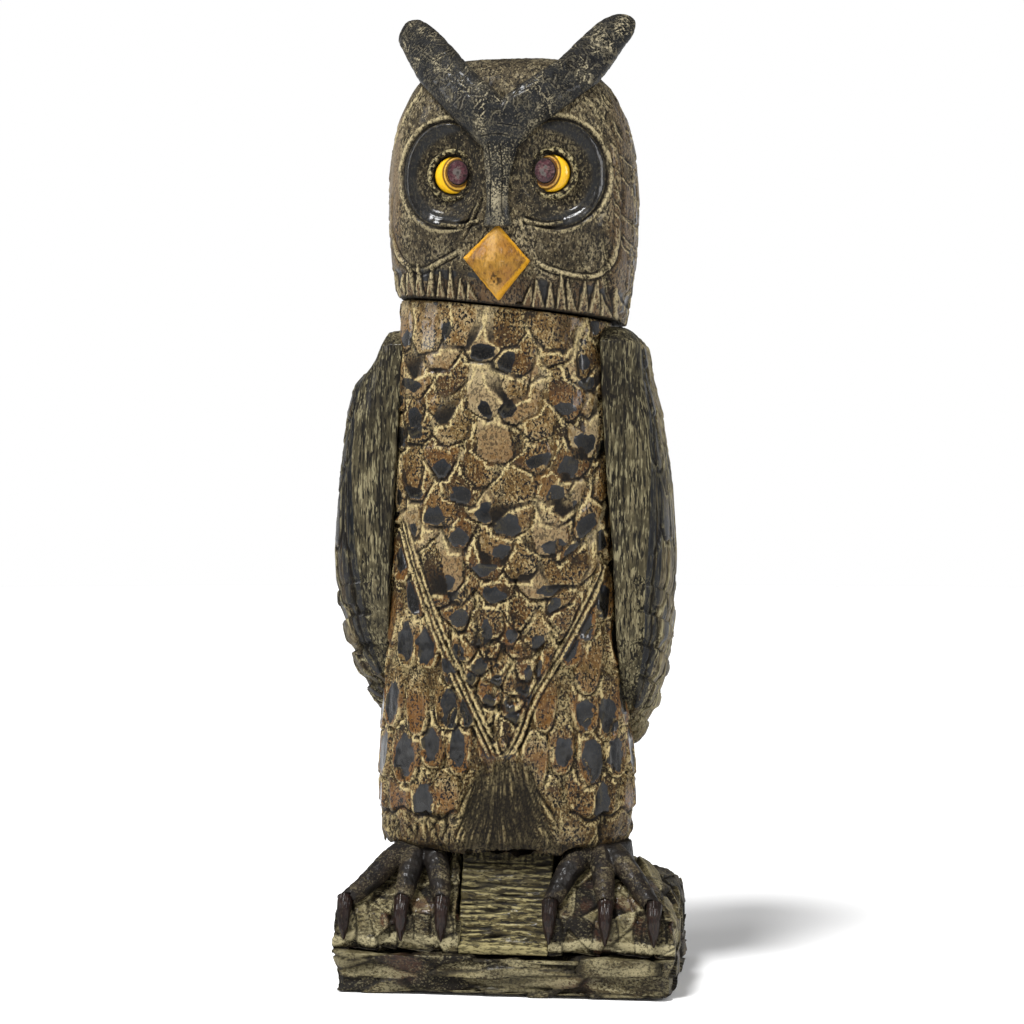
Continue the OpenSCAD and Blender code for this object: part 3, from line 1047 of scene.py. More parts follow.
@dataclass(frozen=True)
class CarvedPaint:
    """Old paint on carved wood: stain, dark grime in the cuts that also stands for their shade, painted
    shade, and dry pale paint dragged over the edges.
    """

    name: str
    dark: Colour
    mid: Colour
    light: Colour
    pale: Colour = (205, 192, 158)
    warm: Colour = (112, 74, 30)
    # darkest colour: real grime in the pores and cuts, and painted shade in the cuts, beside the feather tips
    # and in the hollows
    grime: Colour = (14, 10, 6)
    patch_deep: Colour = (2, 2, 3)
    # patch_sheen: a painted blue-grey sheen on the dark patches; on the pupil, its grey middle
    patch_sheen: Colour = (22, 26, 31)
    grain: tuple[float, float, float] = (1.0, 1.0, 0.3)
    speckle: float = 0.5        # pale speckle dragged over the flats
    dirt: float = 0.5           # dark speckle in the pores
    gloss: float = 0.3
    cover: float = 0.94         # how well the dark patches cover the dry paint
    varnish: float = 0.3        # varnish left on the dark patches
    gain: float = 0.56

    def make(self) -> bpy.types.Material:
        """Mix the paint.

        Returns:
            The material.
        """
        p = Paint(self.name)

        def tint(colour: Colour, lift: float = 1.0) -> tuple[float, float, float, float]:
            """One of this paint's colours in linear light."""
            return linear(colour, self.gain * lift)

        plain, drawn = p.place(), p.place(self.grain)
        blot = p.noise(plain, 11, 3.0, 0.6)
        cloud = p.noise(plain, 34, 2.0)
        streak = p.noise(drawn, 2.0, 4.0, 0.65, 0.4)
        crackle = p.noise(drawn, 0.95, 2.0, 0.6)
        pores = p.noise(p.place([g * 0.9 for g in self.grain]), 1.05, 2.0, 0.6, 0.3)
        bare = p.between(p.layer("tone") + blot * 0.4, 0.85, 1.05)
        tone = p.layer("tone") * 0.7 + blot * 1.1 + streak * 1.1 - 0.9
        colour = p.mix(p.between(tone, 0.22, 0.52), tint(self.dark), tint(self.mid))
        colour = p.mix(p.between(tone, 0.5, 0.85), colour, tint(self.light))
        stain = p.layer("warm") * p.between(cloud + blot, 0.72, 1.04)
        colour = p.mix(stain, colour, tint(self.warm))
        edge = p.layer("edge")
        dry = (p.between(crackle + blot * 0.5 + edge * 0.22, 0.77, 0.86) * (edge * 0.45 + self.speckle * 0.85)
               * (1 - stain * (1 - edge) * 0.85) * (1 - bare * (1 - edge) * 0.42))
        # A dark patch is black where its layer is high; where it is low it takes patch_sheen, a painted
        # sheen, which on the pupil is its grey middle.
        patch = p.layer("patch")
        mask = p.between(patch + crackle * 0.16 - 0.08, 0.17, 0.34)
        sheen = p.mix(p.between(patch + blot * 0.5 - 0.25, 0.4, 0.82), tint(self.patch_sheen),
                      tint(self.patch_deep))
        colour = p.mix(mask, colour, sheen)
        colour = p.mix(dry * (1 - mask * self.cover), colour, tint(self.pale, 1.12))
        specks = p.between(pores + blot * 0.3, 0.68, 0.73) * self.dirt * (1 - bare * 0.35) * (1 - mask * 0.5)
        colour = p.mix(specks * (1 - edge * 0.35), colour, tint(self.grime))
        # The groove layer darkens the cuts: dark grime in them, their painted shade, and the painted shadow
        # lines beside the feather tips.
        groove = p.layer("groove")
        colour = p.mix(groove * p.between(groove + streak * 0.5, 0.3, 0.8) * 0.97, colour, tint(self.grime))
        # The shade layer darkens the colour: painted shade in hollows and under overhangs, and darker paint
        # in some places.
        colour = p.mix(p.layer("shade") * 0.8, colour, tint(self.grime, 1.6))
        rough = 0.62 - patch * 0.32 - self.gloss * 0.25 + dry * 0.15 + streak * 0.12 - stain * 0.08
        coat = ((mask * self.varnish + stain * 0.25 + self.gloss * p.between(cloud, 0.35, 0.65))
                * (1 - dry * 0.7) * (1 - groove))
        relief = crackle * 0.4 + streak * 0.5 + dry * 0.35 - specks * 0.5
        return p.done(colour, rough, coat, relief, bump_depth=0.38)


@dataclass(frozen=True)
class DowelWood:
    """Plain turned beech for the dowels and pegs, with short flecks along the grain."""

    name: str = "beech dowel"
    light: Colour = (206, 170, 122)
    dark: Colour = (168, 128, 82)
    flecks: Colour = (120, 82, 48)

    def make(self) -> bpy.types.Material:
        """Mix the finish.

        Returns:
            The material.
        """
        p = Paint(self.name)
        fibre = p.noise(p.place((1, 1, 0.08)), 0.8, 3.0, 0.6)
        fleck = p.between(p.noise(p.place((1, 1, 0.3)), 1.4, 2.0), 0.62, 0.7)
        colour = p.mix(p.between(fibre, 0.35, 0.65), linear(self.light), linear(self.dark))
        colour = p.mix(fleck * 0.5, colour, linear(self.flecks))
        return p.done(colour, 0.55 + fibre * 0.15, 0.0, fibre, bump_depth=0.1)


class Finish(Enum):
    """The paints of the owl, one for each part of the carving."""

    BREAST = CarvedPaint("breast paint", (44, 31, 14), (112, 88, 48), (168, 150, 114), pale=(206, 186, 134),
                         warm=(112, 72, 20), speckle=0.62, dirt=1.0, gloss=0.2, cover=0.93, gain=0.6,
                         patch_sheen=(21, 25, 31), varnish=0.36, grain=(1, 1, 0.75))
    HEAD = CarvedPaint("head paint", (34, 30, 22), (86, 75, 54), (150, 138, 112), pale=(200, 184, 142),
                       warm=(100, 68, 26), speckle=0.5, dirt=0.9, gloss=0.12, grain=(1, 1, 0.6),
                       patch_sheen=(31, 33, 35), patch_deep=(6, 6, 6), varnish=0.24, cover=0.8)
    BROW = CarvedPaint("brow paint", (22, 23, 25), (54, 52, 46), (96, 91, 78), pale=(190, 178, 146),
                       patch_deep=(6, 6, 7), patch_sheen=(32, 33, 34), speckle=0.62, dirt=0.85, gloss=0.08,
                       varnish=0.1, cover=0.72, grain=(1, 1, 1))
    BEAK = CarvedPaint("beak paint", (118, 82, 34), (164, 120, 44), (192, 148, 76), pale=(232, 168, 20),
                       warm=(150, 92, 24), speckle=0.12, dirt=0.3, gloss=0.25, grain=(1, 1, 0.5), gain=0.7)
    RING = CarvedPaint("eye ring paint", (44, 36, 22), (88, 75, 48), (140, 126, 90), pale=(186, 172, 128),
                       speckle=0.7, dirt=1.2, gloss=0.15, grain=(1, 1, 1))
    IRIS = CarvedPaint("eye yellow", (176, 118, 20), (228, 170, 14), (236, 182, 24), pale=(226, 190, 96),
                       warm=(150, 92, 28), grime=(44, 28, 14), speckle=0.1, dirt=0.14, gloss=0.6,
                       grain=(1, 1, 1), gain=0.8)
    PUPIL = CarvedPaint("pupil paint", (50, 24, 30), (78, 42, 48), (112, 84, 82), pale=(150, 138, 130),
                        patch_deep=(46, 42, 40), patch_sheen=(96, 88, 84), speckle=0.15, dirt=0.5,
                        gloss=0.6, grain=(1, 1, 1), gain=0.7)
    WING = CarvedPaint("wing paint", (26, 22, 14), (76, 69, 48), (122, 112, 84), pale=(180, 170, 132),
                       grain=(1, 1, 0.13), speckle=0.62, dirt=0.95, gloss=0.1, cover=0.75, varnish=0.2)
    TAIL = CarvedPaint("tail paint", (30, 25, 16), (78, 68, 48), (116, 106, 80), grain=(1, 1, 0.2),
                       speckle=0.5, dirt=0.8, gloss=0.12)
    FOOT = CarvedPaint("foot paint", (20, 15, 12), (46, 37, 30), (86, 74, 56), pale=(158, 146, 112),
                       patch_deep=(12, 10, 9), patch_sheen=(36, 31, 28), speckle=0.3, dirt=0.6, gloss=0.04,
                       varnish=0.06, grain=(1, 1, 1))
    CLAW = CarvedPaint("claw paint", (18, 9, 6), (32, 18, 12), (54, 36, 24), pale=(104, 90, 66),
                       warm=(38, 15, 8), speckle=0.3, dirt=0.7, gloss=0.12)
    BASE = CarvedPaint("base paint", (28, 22, 13), (82, 71, 46), (130, 119, 84), pale=(188, 177, 138),
                       warm=(84, 42, 18), speckle=0.42, dirt=0.8, gloss=0.12, grain=(0.7, 0.7, 1))
    RAMP = CarvedPaint("ramp paint", (36, 30, 15), (84, 74, 43), (130, 119, 80), pale=(178, 166, 118),
                       warm=(88, 62, 28), speckle=0.5, dirt=0.85, gloss=0.12, grain=(0.25, 1, 1))
    DOWEL = DowelWood()


PAINTS: dict[Finish, bpy.types.Material] = {}


def paint(finish: Finish) -> bpy.types.Material:
    """The material of a finish, mixed the first time that it is asked for.

    Args:
        finish: The finish.

    Returns:
        Its material.
    """
    if finish not in PAINTS:
        PAINTS[finish] = finish.value.make()
    return PAINTS[finish]


# ---------------------------------------------------------------------------------------------- carving


def box_mm(node: str) -> tuple[Array, Array]:
    """Lowest and highest corner of a node, in millimetres."""
    low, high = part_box(node)
    return np.array(low) / MM, np.array(high) / MM


@dataclass
class Trunk:
    """Breast, bib, thighs and cuffs, cut into one block."""

    columns: int = 306
    rows: int = 316
    seed: int = 3
    neck_slope: float = math.tan(math.radians(6.5))
    bib_left: Sequence[Point2] = ((-51, 238), (-40, 205), (-28.5, 176), (-20, 157), (-13.5, 143), (0, 114.4))
    bib_right: Sequence[Point2] = ((56.5, 256), (54, 226), (47, 201), (32, 171), (17, 146), (7.6, 123),
                                   (0, 114.4))
    bib_top: float = 338.0
    bib_foot: float = 116.0
    back_from: float = 108.0    # angle round from the front at which the mantle starts
    arch: tuple[float, float] = (-22.0, 31.0)
    cuff_top: float = 87.0
    girth_radius: float = 52.0

    def neck(self, x: Union[float, Array]) -> Union[float, Array]:
        """Height of the neck joint at a sideways place."""
        return self.neck_height - self.neck_slope * np.asarray(x)

    def build(self) -> None:
        """Cut the trunk and hand it over."""
        low, high = box_mm("trunk")
        self.neck_height = high[2] + self.neck_slope * (low[0] + 8)
        tree = tree_of(frame["nodes"]["trunk"])
        wrap = Wrap("trunk_carving", self.columns, self.rows,
                    [(0, -180), (0.12, -115), (0.21, -70), (0.79, 70), (0.88, 115), (1, 180)])
        obj = wrap.upright(tree, (low[0] + high[0]) / 2, low[2], self.neck)
        skin = Skin(obj)
        self.girth = np.degrees(np.arctan2(skin.x - (low[0] + high[0]) / 2, -skin.y))
        self.u = self.round_the_front(skin)
        self.body = (np.abs(skin.normal[:, 2]) < 0.6).astype(float)
        self.bib(skin)
        self.thighs(skin)
        self.mantle(skin)
        self.arch_strokes(skin)
        self.cuffs(skin)
        self.lines(skin)
        skin.grain((1.6, 1.6, 5.0), 0.16, self.seed)
        skin.grain((0.9, 0.9, 2.0), 0.08, self.seed + 1)
        skin.finish("trunk", "breast_wood", paint(Finish.BREAST))

    def round_the_front(self, skin: Skin) -> Array:
        """Way round the block from the middle of the front.

        Args:
            skin: The trunk's surface.

        Returns:
            The way in millimetres, with the sign of X.
        """
        angle = np.arctan2(skin.x, -skin.y)
        wide = 1.0 + 0.10 * np.abs(np.sin(angle))
        return self.girth_radius * angle * wide

    def edges(self, z: Union[float, Array]) -> tuple[Array, Array]:
        """Left and right edge of the bib at a height."""
        left, right = (np.array(line)[::-1] for line in (self.bib_left, self.bib_right))
        return np.interp(z, left[:, 1], left[:, 0]), np.interp(z, right[:, 1], right[:, 0])

    def bib(self, skin: Skin) -> None:
        """Rows of pointed scales, smaller towards the foot of the bib.

        Args:
            skin: The trunk's surface.
        """
        rng = np.random.default_rng(self.seed)
        rows, z, number = [], self.bib_top + 14, 0
        while z > self.bib_foot:
            small = float(smooth(np.array(z), 165.0, 235.0))
            gap = 8.4 + 4.9 * small
            half = 6.0 + 4.3 * small
            left, right = self.edges(z)
            count = max(1, round((right - left) / (half * 1.92)))
            pitch = (right - left) / count
            shift = 0.5 if number % 2 else 0.0
            for k in range(-1, count + 1):
                x = left + (k + 0.5 + shift) * pitch + rng.normal(0, 1.0)
                outer = x < left + 9 or x > right - 11
                long = (2.3 if outer and z > 200 else 2.0) * rng.uniform(0.92, 1.2)
                lean = (0.32 if x < left + 9 else -0.5) if outer and z > 200 else rng.normal(0, 0.2)
                dark = rng.random()
                rows.append(Feather(
                    x * 1.07, z + rng.normal(0, 1.6), half * (0.66 if outer else 1.0) * rng.uniform(0.9, 1.3),
                    gap * long, turn=lean, shoulder=rng.uniform(0.52, 0.84), blunt=rng.uniform(0.0, 0.6),
                    power=rng.uniform(0.75, 1.1), lift=rng.uniform(1.6, 2.9), sway=rng.uniform(-0.8, 0.8),
                    bevel=tuple(rng.uniform(0.15, 0.75, 3)), crown=rng.uniform(0.6, 1.9),
                    rim=1.0 - 0.7 * small, band=1.7 - 0.9 * small, scoop=1.3 * (1 - small),
                    tone=rng.uniform(0.1, 1.0) * (0.45 + 0.55 * small),
                    warm=rng.uniform(0.2, 1.0) * (1.4 - small * 0.7),
                    patch=(1.25 if dark > 0.6 else 0.95) * (dark > 0.28 * small + 0.08),
                    patch_at=(rng.normal(0.0, 0.3), rng.uniform(0.74, 0.86)),
                    patch_size=(rng.uniform(0.3, 0.62), rng.uniform(0.1, 0.2) + 0.06 * (1 - small))))
            z -= gap
            number += 1
        left, right = self.edges(skin.z)
        inside = smooth(skin.x - left, -1.0, 1.0) * smooth(right - skin.x, -1.0, 1.0) * (skin.z > 114)
        self.inside_bib = np.where(skin.z > 240, 1.0, inside) * (np.abs(self.girth) < 80) * self.body
        skin.feathers(self.u + 0.8 * skin.ripple(7.0, 5), skin.z + 0.8 * skin.ripple(7.0, 6), rows,
                      self.inside_bib, floor=-2.2, wall=0.7)

    def thighs(self, skin: Skin) -> None:
        """Long oval feathers outside the bib, each with a dark polished middle.

        Args:
            skin: The trunk's surface.
        """
        rng = np.random.default_rng(self.seed + 7)
        rows = [Feather(
            u + rng.normal(0, 1.4), z + rng.normal(0, 3.2), rng.uniform(6.6, 8.6), rng.uniform(28, 37),
            turn=rng.normal(0, 0.07), oval=True, lift=rng.uniform(0.9, 1.6), bevel=(0.6, 0.6, 0.4),
            crown=rng.uniform(0.9, 1.4), scoop=rng.uniform(0.8, 1.4), rim=1.0, band=1.0,
            tone=rng.uniform(0.05, 0.6), warm=rng.uniform(0.7, 1.3),
            patch=rng.uniform(0.75, 1.3) * (rng.random() > 0.25),
            patch_at=(rng.normal(0, 0.12), rng.uniform(0.54, 0.64)),
            patch_size=(rng.uniform(0.5, 0.7), rng.uniform(0.26, 0.35)))
            for u, z in brick(np.arange(264, 84, -25.5), range(-9, 10), 15.4)]
        spread = falling(skin.z, 84.0, 117.0)
        ragged = 3.5 * skin.ripple((30, 30, 6), 33)
        left = 2 + (self.arch[0] - 3) * (0.5 + 0.5 * spread) + ragged
        right = 2 + (self.arch[1] + 2) * (0.5 + 0.5 * spread) + ragged
        arch = smooth(skin.x - left, -3.0, 3.0) * smooth(right - skin.x, -3.0, 3.0)
        low = falling(skin.z, 112.0, 119.0)
        self.under_arch = arch * low * (skin.y < 0)
        skin.co[:, 1] -= 1.0 * falling(skin.z, 71.0, 76.0) * self.under_arch
        outside = (1 - self.inside_bib) * (1 - self.under_arch) * self.body
        outside = outside * smooth(skin.z, self.cuff_top - 2, self.cuff_top + 2) * (skin.z < 262)
        outside = outside * ((skin.y < 12) | (skin.z < 120))
        skin.feathers(self.u, skin.z, rows, outside, floor=-1.3, wall=0.9)
        between = outside * smooth(skin.groove, 0.1, 0.5)
        skin.more(edge=between * (0.15 + 0.5 * skin.ripple(5.0, 36)))
        skin.groove *= 1 - outside * 0.1

    def mantle(self, skin: Skin) -> None:
        """Broad rounded feathers over the back.

        Args:
            skin: The trunk's surface.
        """
        rng = np.random.default_rng(self.seed + 11)
        back = np.sign(self.girth) * (180 - np.abs(self.girth)) * 0.95
        rows = [Feather(
            u + rng.normal(0, 1), z + rng.normal(0, 1.2), rng.uniform(8.6, 10.2), rng.uniform(27, 32),
            shoulder=0.5, blunt=0.1, power=rng.uniform(0.45, 0.6), lift=rng.uniform(1.2, 1.8),
            bevel=(0.25, 0.25, 0.3), crown=0.9, tone=rng.uniform(0.0, 0.5), warm=rng.uniform(0, 0.5),
            patch=rng.uniform(0.1, 1.1), patch_at=(rng.normal(0, 0.2), rng.uniform(0.66, 0.8)),
            patch_size=(rng.uniform(0.25, 0.6), rng.uniform(0.1, 0.2)))
            for u, z in brick(np.arange(352, 92, -17.0), range(-5, 6), 17)]
        where = (np.abs(self.girth) > self.back_from) * self.body * (skin.z > 118)
        skin.feathers(back, skin.z, rows, where.astype(float), floor=-1.4, wall=1.0)
        skin.more(shade=where * 0.3)

    def arch_strokes(self, skin: Skin) -> None:
        """Deep strokes that fan down between the thighs from the foot of the bib, over the painted shade of
        that hollow.

        Args:
            skin: The trunk's surface.
        """
        rng = np.random.default_rng(self.seed + 13)
        cuts = []
        for _ in range(150):
            spread = rng.uniform(-1, 1)
            top = (3 + 13 * spread + rng.normal(0, 2), rng.uniform(84, 119))
            cuts.append((top, (4 + 29 * spread + rng.normal(0, 2), rng.uniform(64, 86))))
        where = self.under_arch * self.body
        skin.depth -= where * (1.2 + 0.8 * skin.ripple((4, 4, 16), 31))
        skin.strokes(skin.front, cuts, 2.6, 1.8, where, pale=0.8)
        # Painted shade in the hollow between the thighs: darkest along the middle and towards the bottom.
        middle = on_line(skin.x - 4, 7.0, 20.0)
        low = falling(skin.z, 76.0, 92.0)
        dark = 0.2 + 0.42 * middle + 0.3 * skin.ripple((5, 5, 24), 32) + 0.3 * low
        skin.more(shade=where * np.clip(dark, 0, 0.85))
        skin.tone = skin.tone * (1 - where) + 0.45 * where
        skin.more(edge=where * (1 - middle) * smooth(skin.ripple((2, 2, 14), 37), 0.2, 0.7))
        skin.patch *= 1 - where
        fringe = falling(skin.z, 71.0, 79.0) * self.under_arch * smooth(-skin.y, 24.0, 32.0)
        skin.co[:, 2] -= fringe * (3.5 + 2.2 * skin.ripple((5.0, 40, 60), 40))

    def cuffs(self, skin: Skin) -> None:
        """Ruffled rims at the feet of the thighs.

        Args:
            skin: The trunk's surface.
        """
        rng = np.random.default_rng(self.seed + 17)
        cuts = []
        for u in rng.uniform(-150, 150, 95):
            lean = rng.normal(0, 3.0)
            top = self.cuff_top + rng.uniform(-9, 4)
            cuts.append(((u + lean, top), (u, top - rng.uniform(6, 15))))
        thigh = self.body * (1 - self.under_arch)
        where = smooth(-skin.z, -self.cuff_top - 3, -self.cuff_top + 1) * thigh
        flat = np.column_stack([self.u, skin.z])
        wave = self.cuff_top + 1.6 * np.sin(self.u / 5.1) + 1.2 * np.sin(self.u / 2.3 + 1)
        skin.depth -= where * 0.5
        skin.depth += where * 0.9 * skin.ripple((4.5, 4.5, 6.0), 38)
        skin.strokes(flat, cuts, 2.6, 2.3, where, pale=1.0)
        skin.more(shade=where * (0.5 + 0.4 * skin.ripple((6, 6, 4), 39)))
        skin.more(warm=where * 0.3)
        line = on_line(skin.z - wave, 0.3, 1.6) * thigh
        skin.depth -= line * 1.3
        skin.more(groove=line)
        lip = on_line(skin.z - wave + 2.2, 0.4, 1.4) * thigh
        skin.more(edge=lip * 0.7)
        flare = falling(skin.z, 73.0, 84.0) * (1 - self.under_arch) * (0.6 + 0.5 * skin.ripple(9.0, 34))
        skin.co[:, :2] += skin.normal[:, :2] * (2.6 * flare)[:, None]
        outer = np.hypot(skin.x, skin.y) > 30
        skin.co[:, 2] -= 2.8 * falling(skin.z, 72.5, 78.0) * np.abs(skin.ripple((8, 8, 60), 35)) * outer
        skin.more(groove=0.8 * falling(skin.z, 71.8, 73.5))

    def lines(self, skin: Skin) -> None:
        """The double carved lines that border the bib, and the cut under the neck.

        Args:
            skin: The trunk's surface.
        """
        front = self.body * (skin.y < 0)
        for points, shifts in ((self.bib_left, (-2.6, 0.0, 2.6)), (self.bib_right, (0.0, 3.0))):
            line = through(points)
            for shift in shifts:
                worn = front * smooth(skin.ripple((9, 9, 9), 41 + round(shift)), -0.75, -0.1)
                skin.ridge(skin.front, line + [shift, shift * 0.3], 1.5, 0.15, worn, pale=0.9)
        rim = on_line(skin.z - self.neck(skin.x), 0.2, 1.0)
        skin.depth += 1.6 * smooth(skin.z - self.neck(skin.x), -12.0, -4.0) * front * (1 - rim)
        skin.depth -= rim * 0.5
        skin.more(groove=rim * self.body)


@dataclass
class Head:
    """The head block: hollow eye discs, cheek arcs, the rim's hatching and the teeth above the neck."""

    columns: int = 344
    rows: int = 272
    seed: int = 23
    disc_x: tuple[float, float] = (-24.8, 30.8)
    disc_z: tuple[float, float] = (409.0, 408.5)
    disc_wide: tuple[float, float] = (23.6, 24.6)
    disc_tall: tuple[float, float] = (26.6, 27.2)
    disc_depth: float = 7.0
    disc_turn: float = 12.0
    face_y: float = -50.0
    middle: tuple[float, float, float] = (3.0, 0.0, 402.0)
    cheek_left: Sequence[Point2] = (
        (-56.5, 404), (-57, 386), (-53, 372), (-46, 364), (-38, 361.5), (-27, 366),
        (-17, 371))
    cheek_right: Sequence[Point2] = ((18, 366), (26, 361.5), (36, 358.5), (48, 357.5), (56, 363), (59.5, 374),
                                     (60.5, 392), (60, 412), (57, 428), (50, 441), (41, 450))

    def build(self) -> None:
        """Cut the head and hand it over."""
        blank = node_copy("head", "head_search")
        edit(blank, lambda: bpy.ops.mesh.convex_hull())
        tree = tree_of(blank)
        bpy.data.objects.remove(blank)
        wrap = Wrap("head_carving", self.columns, self.rows,
                    [(0, -180), (0.18, -100), (0.25, -68), (0.75, 68), (0.82, 100), (1, 180)], soften=1)
        obj = wrap.ball(tree, Vector(self.middle), [(0, -90), (0.1, -54), (0.88, 46), (1, 90)])
        self.hollow(obj)
        skin = Skin(obj)
        self.fore = smooth(-skin.normal[:, 1], 0.02, 0.3) * (skin.y < -8)
        self.side = (np.abs(skin.normal[:, 2]) < 0.75).astype(float)
        self.discs(skin)
        self.cheeks(skin)
        self.hatching(skin)
        self.teeth(skin)
        self.nape(skin)
        skin.grain((1.8, 1.8, 6.0), 0.16, self.seed)
        skin.grain((0.9, 0.9, 1.6), 0.07, self.seed + 1)
        skin.finish("head", "head_wood", paint(Finish.HEAD))

    def hollow(self, obj: bpy.types.Object) -> None:
        """Scoop the two discs out of the blank.

        Args:
            obj: The head's blank.
        """
        co = points_of(obj.data)
        for i, out in enumerate((-1, 1)):
            dx, dz = co[:, 0] - self.disc_x[i], co[:, 2] - self.disc_z[i]
            rho = (dx / self.disc_wide[i]) ** 2 + (dz / self.disc_tall[i]) ** 2
            plane = self.face_y + math.tan(math.radians(self.disc_turn)) * dx * out
            bowl = plane + self.disc_depth * (1 - rho)
            scoop = (rho < 1.0) & (co[:, 1] < 0)
            co[scoop, 1] = np.maximum(co[scoop, 1], bowl[scoop])
        put_points(obj.data, co)

    def discs(self, skin: Skin) -> None:
        """Rims of the discs, their dark hollows with a painted sheen, and the smooth tooled lines round the
        eyes.

        Args:
            skin: The head's surface.
        """
        for i, out in enumerate((-1, 1)):
            dx, dz = skin.x - self.disc_x[i], skin.z - self.disc_z[i]
            rho = np.hypot(dx / self.disc_wide[i], dz / self.disc_tall[i])
            turn = np.degrees(np.arctan2(dz, dx * out))      # 0 is outward, 90 is up
            mean = (self.disc_wide[i] + self.disc_tall[i]) / 2
            open_nose = smooth(np.abs(turn), 105.0, 135.0)
            rim = self.fore * (1 - open_nose * 0.75)
            gap = (rho - 1.0) * mean
            line = on_line(gap - 0.2, 0.3, 1.3)
            skin.depth -= rim * line * 1.1
            skin.more(groove=rim * line)
            lip = on_line(gap - 2.0, 0.4, 1.3)
            weight = rim * lip * np.where(turn < 100, 1.0, 0.7)
            weight *= 0.4 + 0.6 * smooth(skin.ripple(5.0, 29), -0.4, 0.1)
            skin.depth += weight * 0.5
            skin.more(edge=weight)
            inside = falling(rho, 0.9, 1.0) * self.fore
            # The outer half of each disc takes a painted sheen, which turns black towards the rim.
            outer_half = on_line(turn, 60.0, 140.0)
            band = smooth(rho, 0.5, 0.74) * outer_half
            skin.more(shade=inside * (0.42 + 0.2 * skin.ripple(6.0, 24)))
            skin.more(patch=inside * band * (0.3 + 0.65 * smooth(rho, 0.7, 0.98)))
            skin.tone = skin.tone * (1 - inside) + 0.3 * inside
            for radius in (0.68, 0.8):
                ring = smooth(-np.abs(rho - radius) * mean, -0.9, -0.1) * self.fore
                skin.depth -= ring * 0.25
            ledge = through([(self.disc_x[i] + out * 4, 384.5), (self.disc_x[i] - out * 6, 383.0),
                             (self.disc_x[i] - out * 17, 385.5)])
            skin.ridge(skin.front, ledge, 1.3, 0.5, self.fore, pale=0.6)

    def cheeks(self, skin: Skin) -> None:
        """The arcs under the cheeks, and the dark hollows that they close.

        Args:
            skin: The head's surface.
        """
        broken = smooth(skin.ripple(5.0, 28), -0.45, 0.1)
        for points in (self.cheek_left, self.cheek_right):
            worn = self.fore * (0.55 + 0.45 * falling(skin.z, 368.0, 385.0))
            skin.ridge(skin.front, through(points), 1.6, 0.7, worn, pale=0.35 + 0.65 * broken)
        for points in (((-7, 398), (-11, 388), (-17.5, 376)), ((9, 398), (11.5, 388), (17.5, 375))):
            skin.ridge(skin.front, through(points), 1.2, 0.4, self.fore * broken, pale=0.5)
        mottle = 0.45 + 0.35 * skin.ripple(7.0, 30)
        for cx, cz, wide, tall in ((-34, 376, 20, 13), (38, 374, 21, 14)):
            inside = falling(np.hypot((skin.x - cx) / wide, (skin.z - cz) / tall), 0.75, 1.0)
            skin.more(shade=inside * self.fore * mottle)
        temple = falling(np.hypot((skin.x + 60) / 13, (skin.z - 415) / 45), 0.6, 1.0) * self.side
        skin.tone = np.clip(skin.tone + temple * 0.5, 0, 1)
        under = falling(skin.z, 352.0, 360.0) * self.fore
        skin.more(warm=under * 0.8)
        outer = smooth(np.abs(skin.x - 3), 50.0, 56.0) * self.side * (skin.y < 10)
        skin.more(warm=outer * 0.6)

    def hatching(self, skin: Skin) -> None:
        """Short knife strokes round the head's outer rim.

        Args:
            skin: The head's surface.
        """
        rng = np.random.default_rng(self.seed + 3)
        cuts = []
        for t in np.linspace(0, 1, 34):
            x = 49 + 14 * math.sin(math.pi * min(t * 1.3, 1.0) * 0.5) + rng.normal(0, 2.6)
            z, long = 452 - 84 * t + rng.normal(0, 2.2), rng.uniform(1.6, 4.4)
            cuts.append(((x - 2, z + long), (x + 1.4 + rng.normal(0, 1.6), z - long)))
        for t in np.linspace(0, 1, 14):
            x, z = -40 - 16 * t + rng.normal(0, 1), 452 - 24 * t
            cuts.append(((x + 1.5, z + 4), (x - 2.5, z - 4)))
        for t in np.linspace(0, 1, 22):
            x, z = 55 + rng.normal(0, 2), 372 - 30 * t
            cuts.append(((x - 1, z + 5), (x + 1.5, z - 4)))
        skin.strokes(skin.front, cuts, 1.5, 0.9, self.side * (skin.y < 6), pale=1.0)

    def teeth(self, skin: Skin) -> None:
        """Long V cuts that stand on the neck line like the teeth of a saw.

        Args:
            skin: The head's surface.
        """
        rng = np.random.default_rng(self.seed + 5)
        slope = math.tan(math.radians(6.5))
        line = skin.z - (344 - slope * skin.x)
        low = falling(skin.z, 362.0, 368.0) * (np.abs(skin.normal[:, 2]) < 0.9) * (skin.y < 12)
        dark = low * falling(line, 12.0, 17.0) * (np.abs(skin.x - 1) > 9)
        skin.depth -= dark * (1.4 + 0.5 * skin.ripple((3, 3, 9), 25))
        skin.more(shade=dark * (0.45 + 0.3 * skin.ripple((4, 4, 10), 26)))
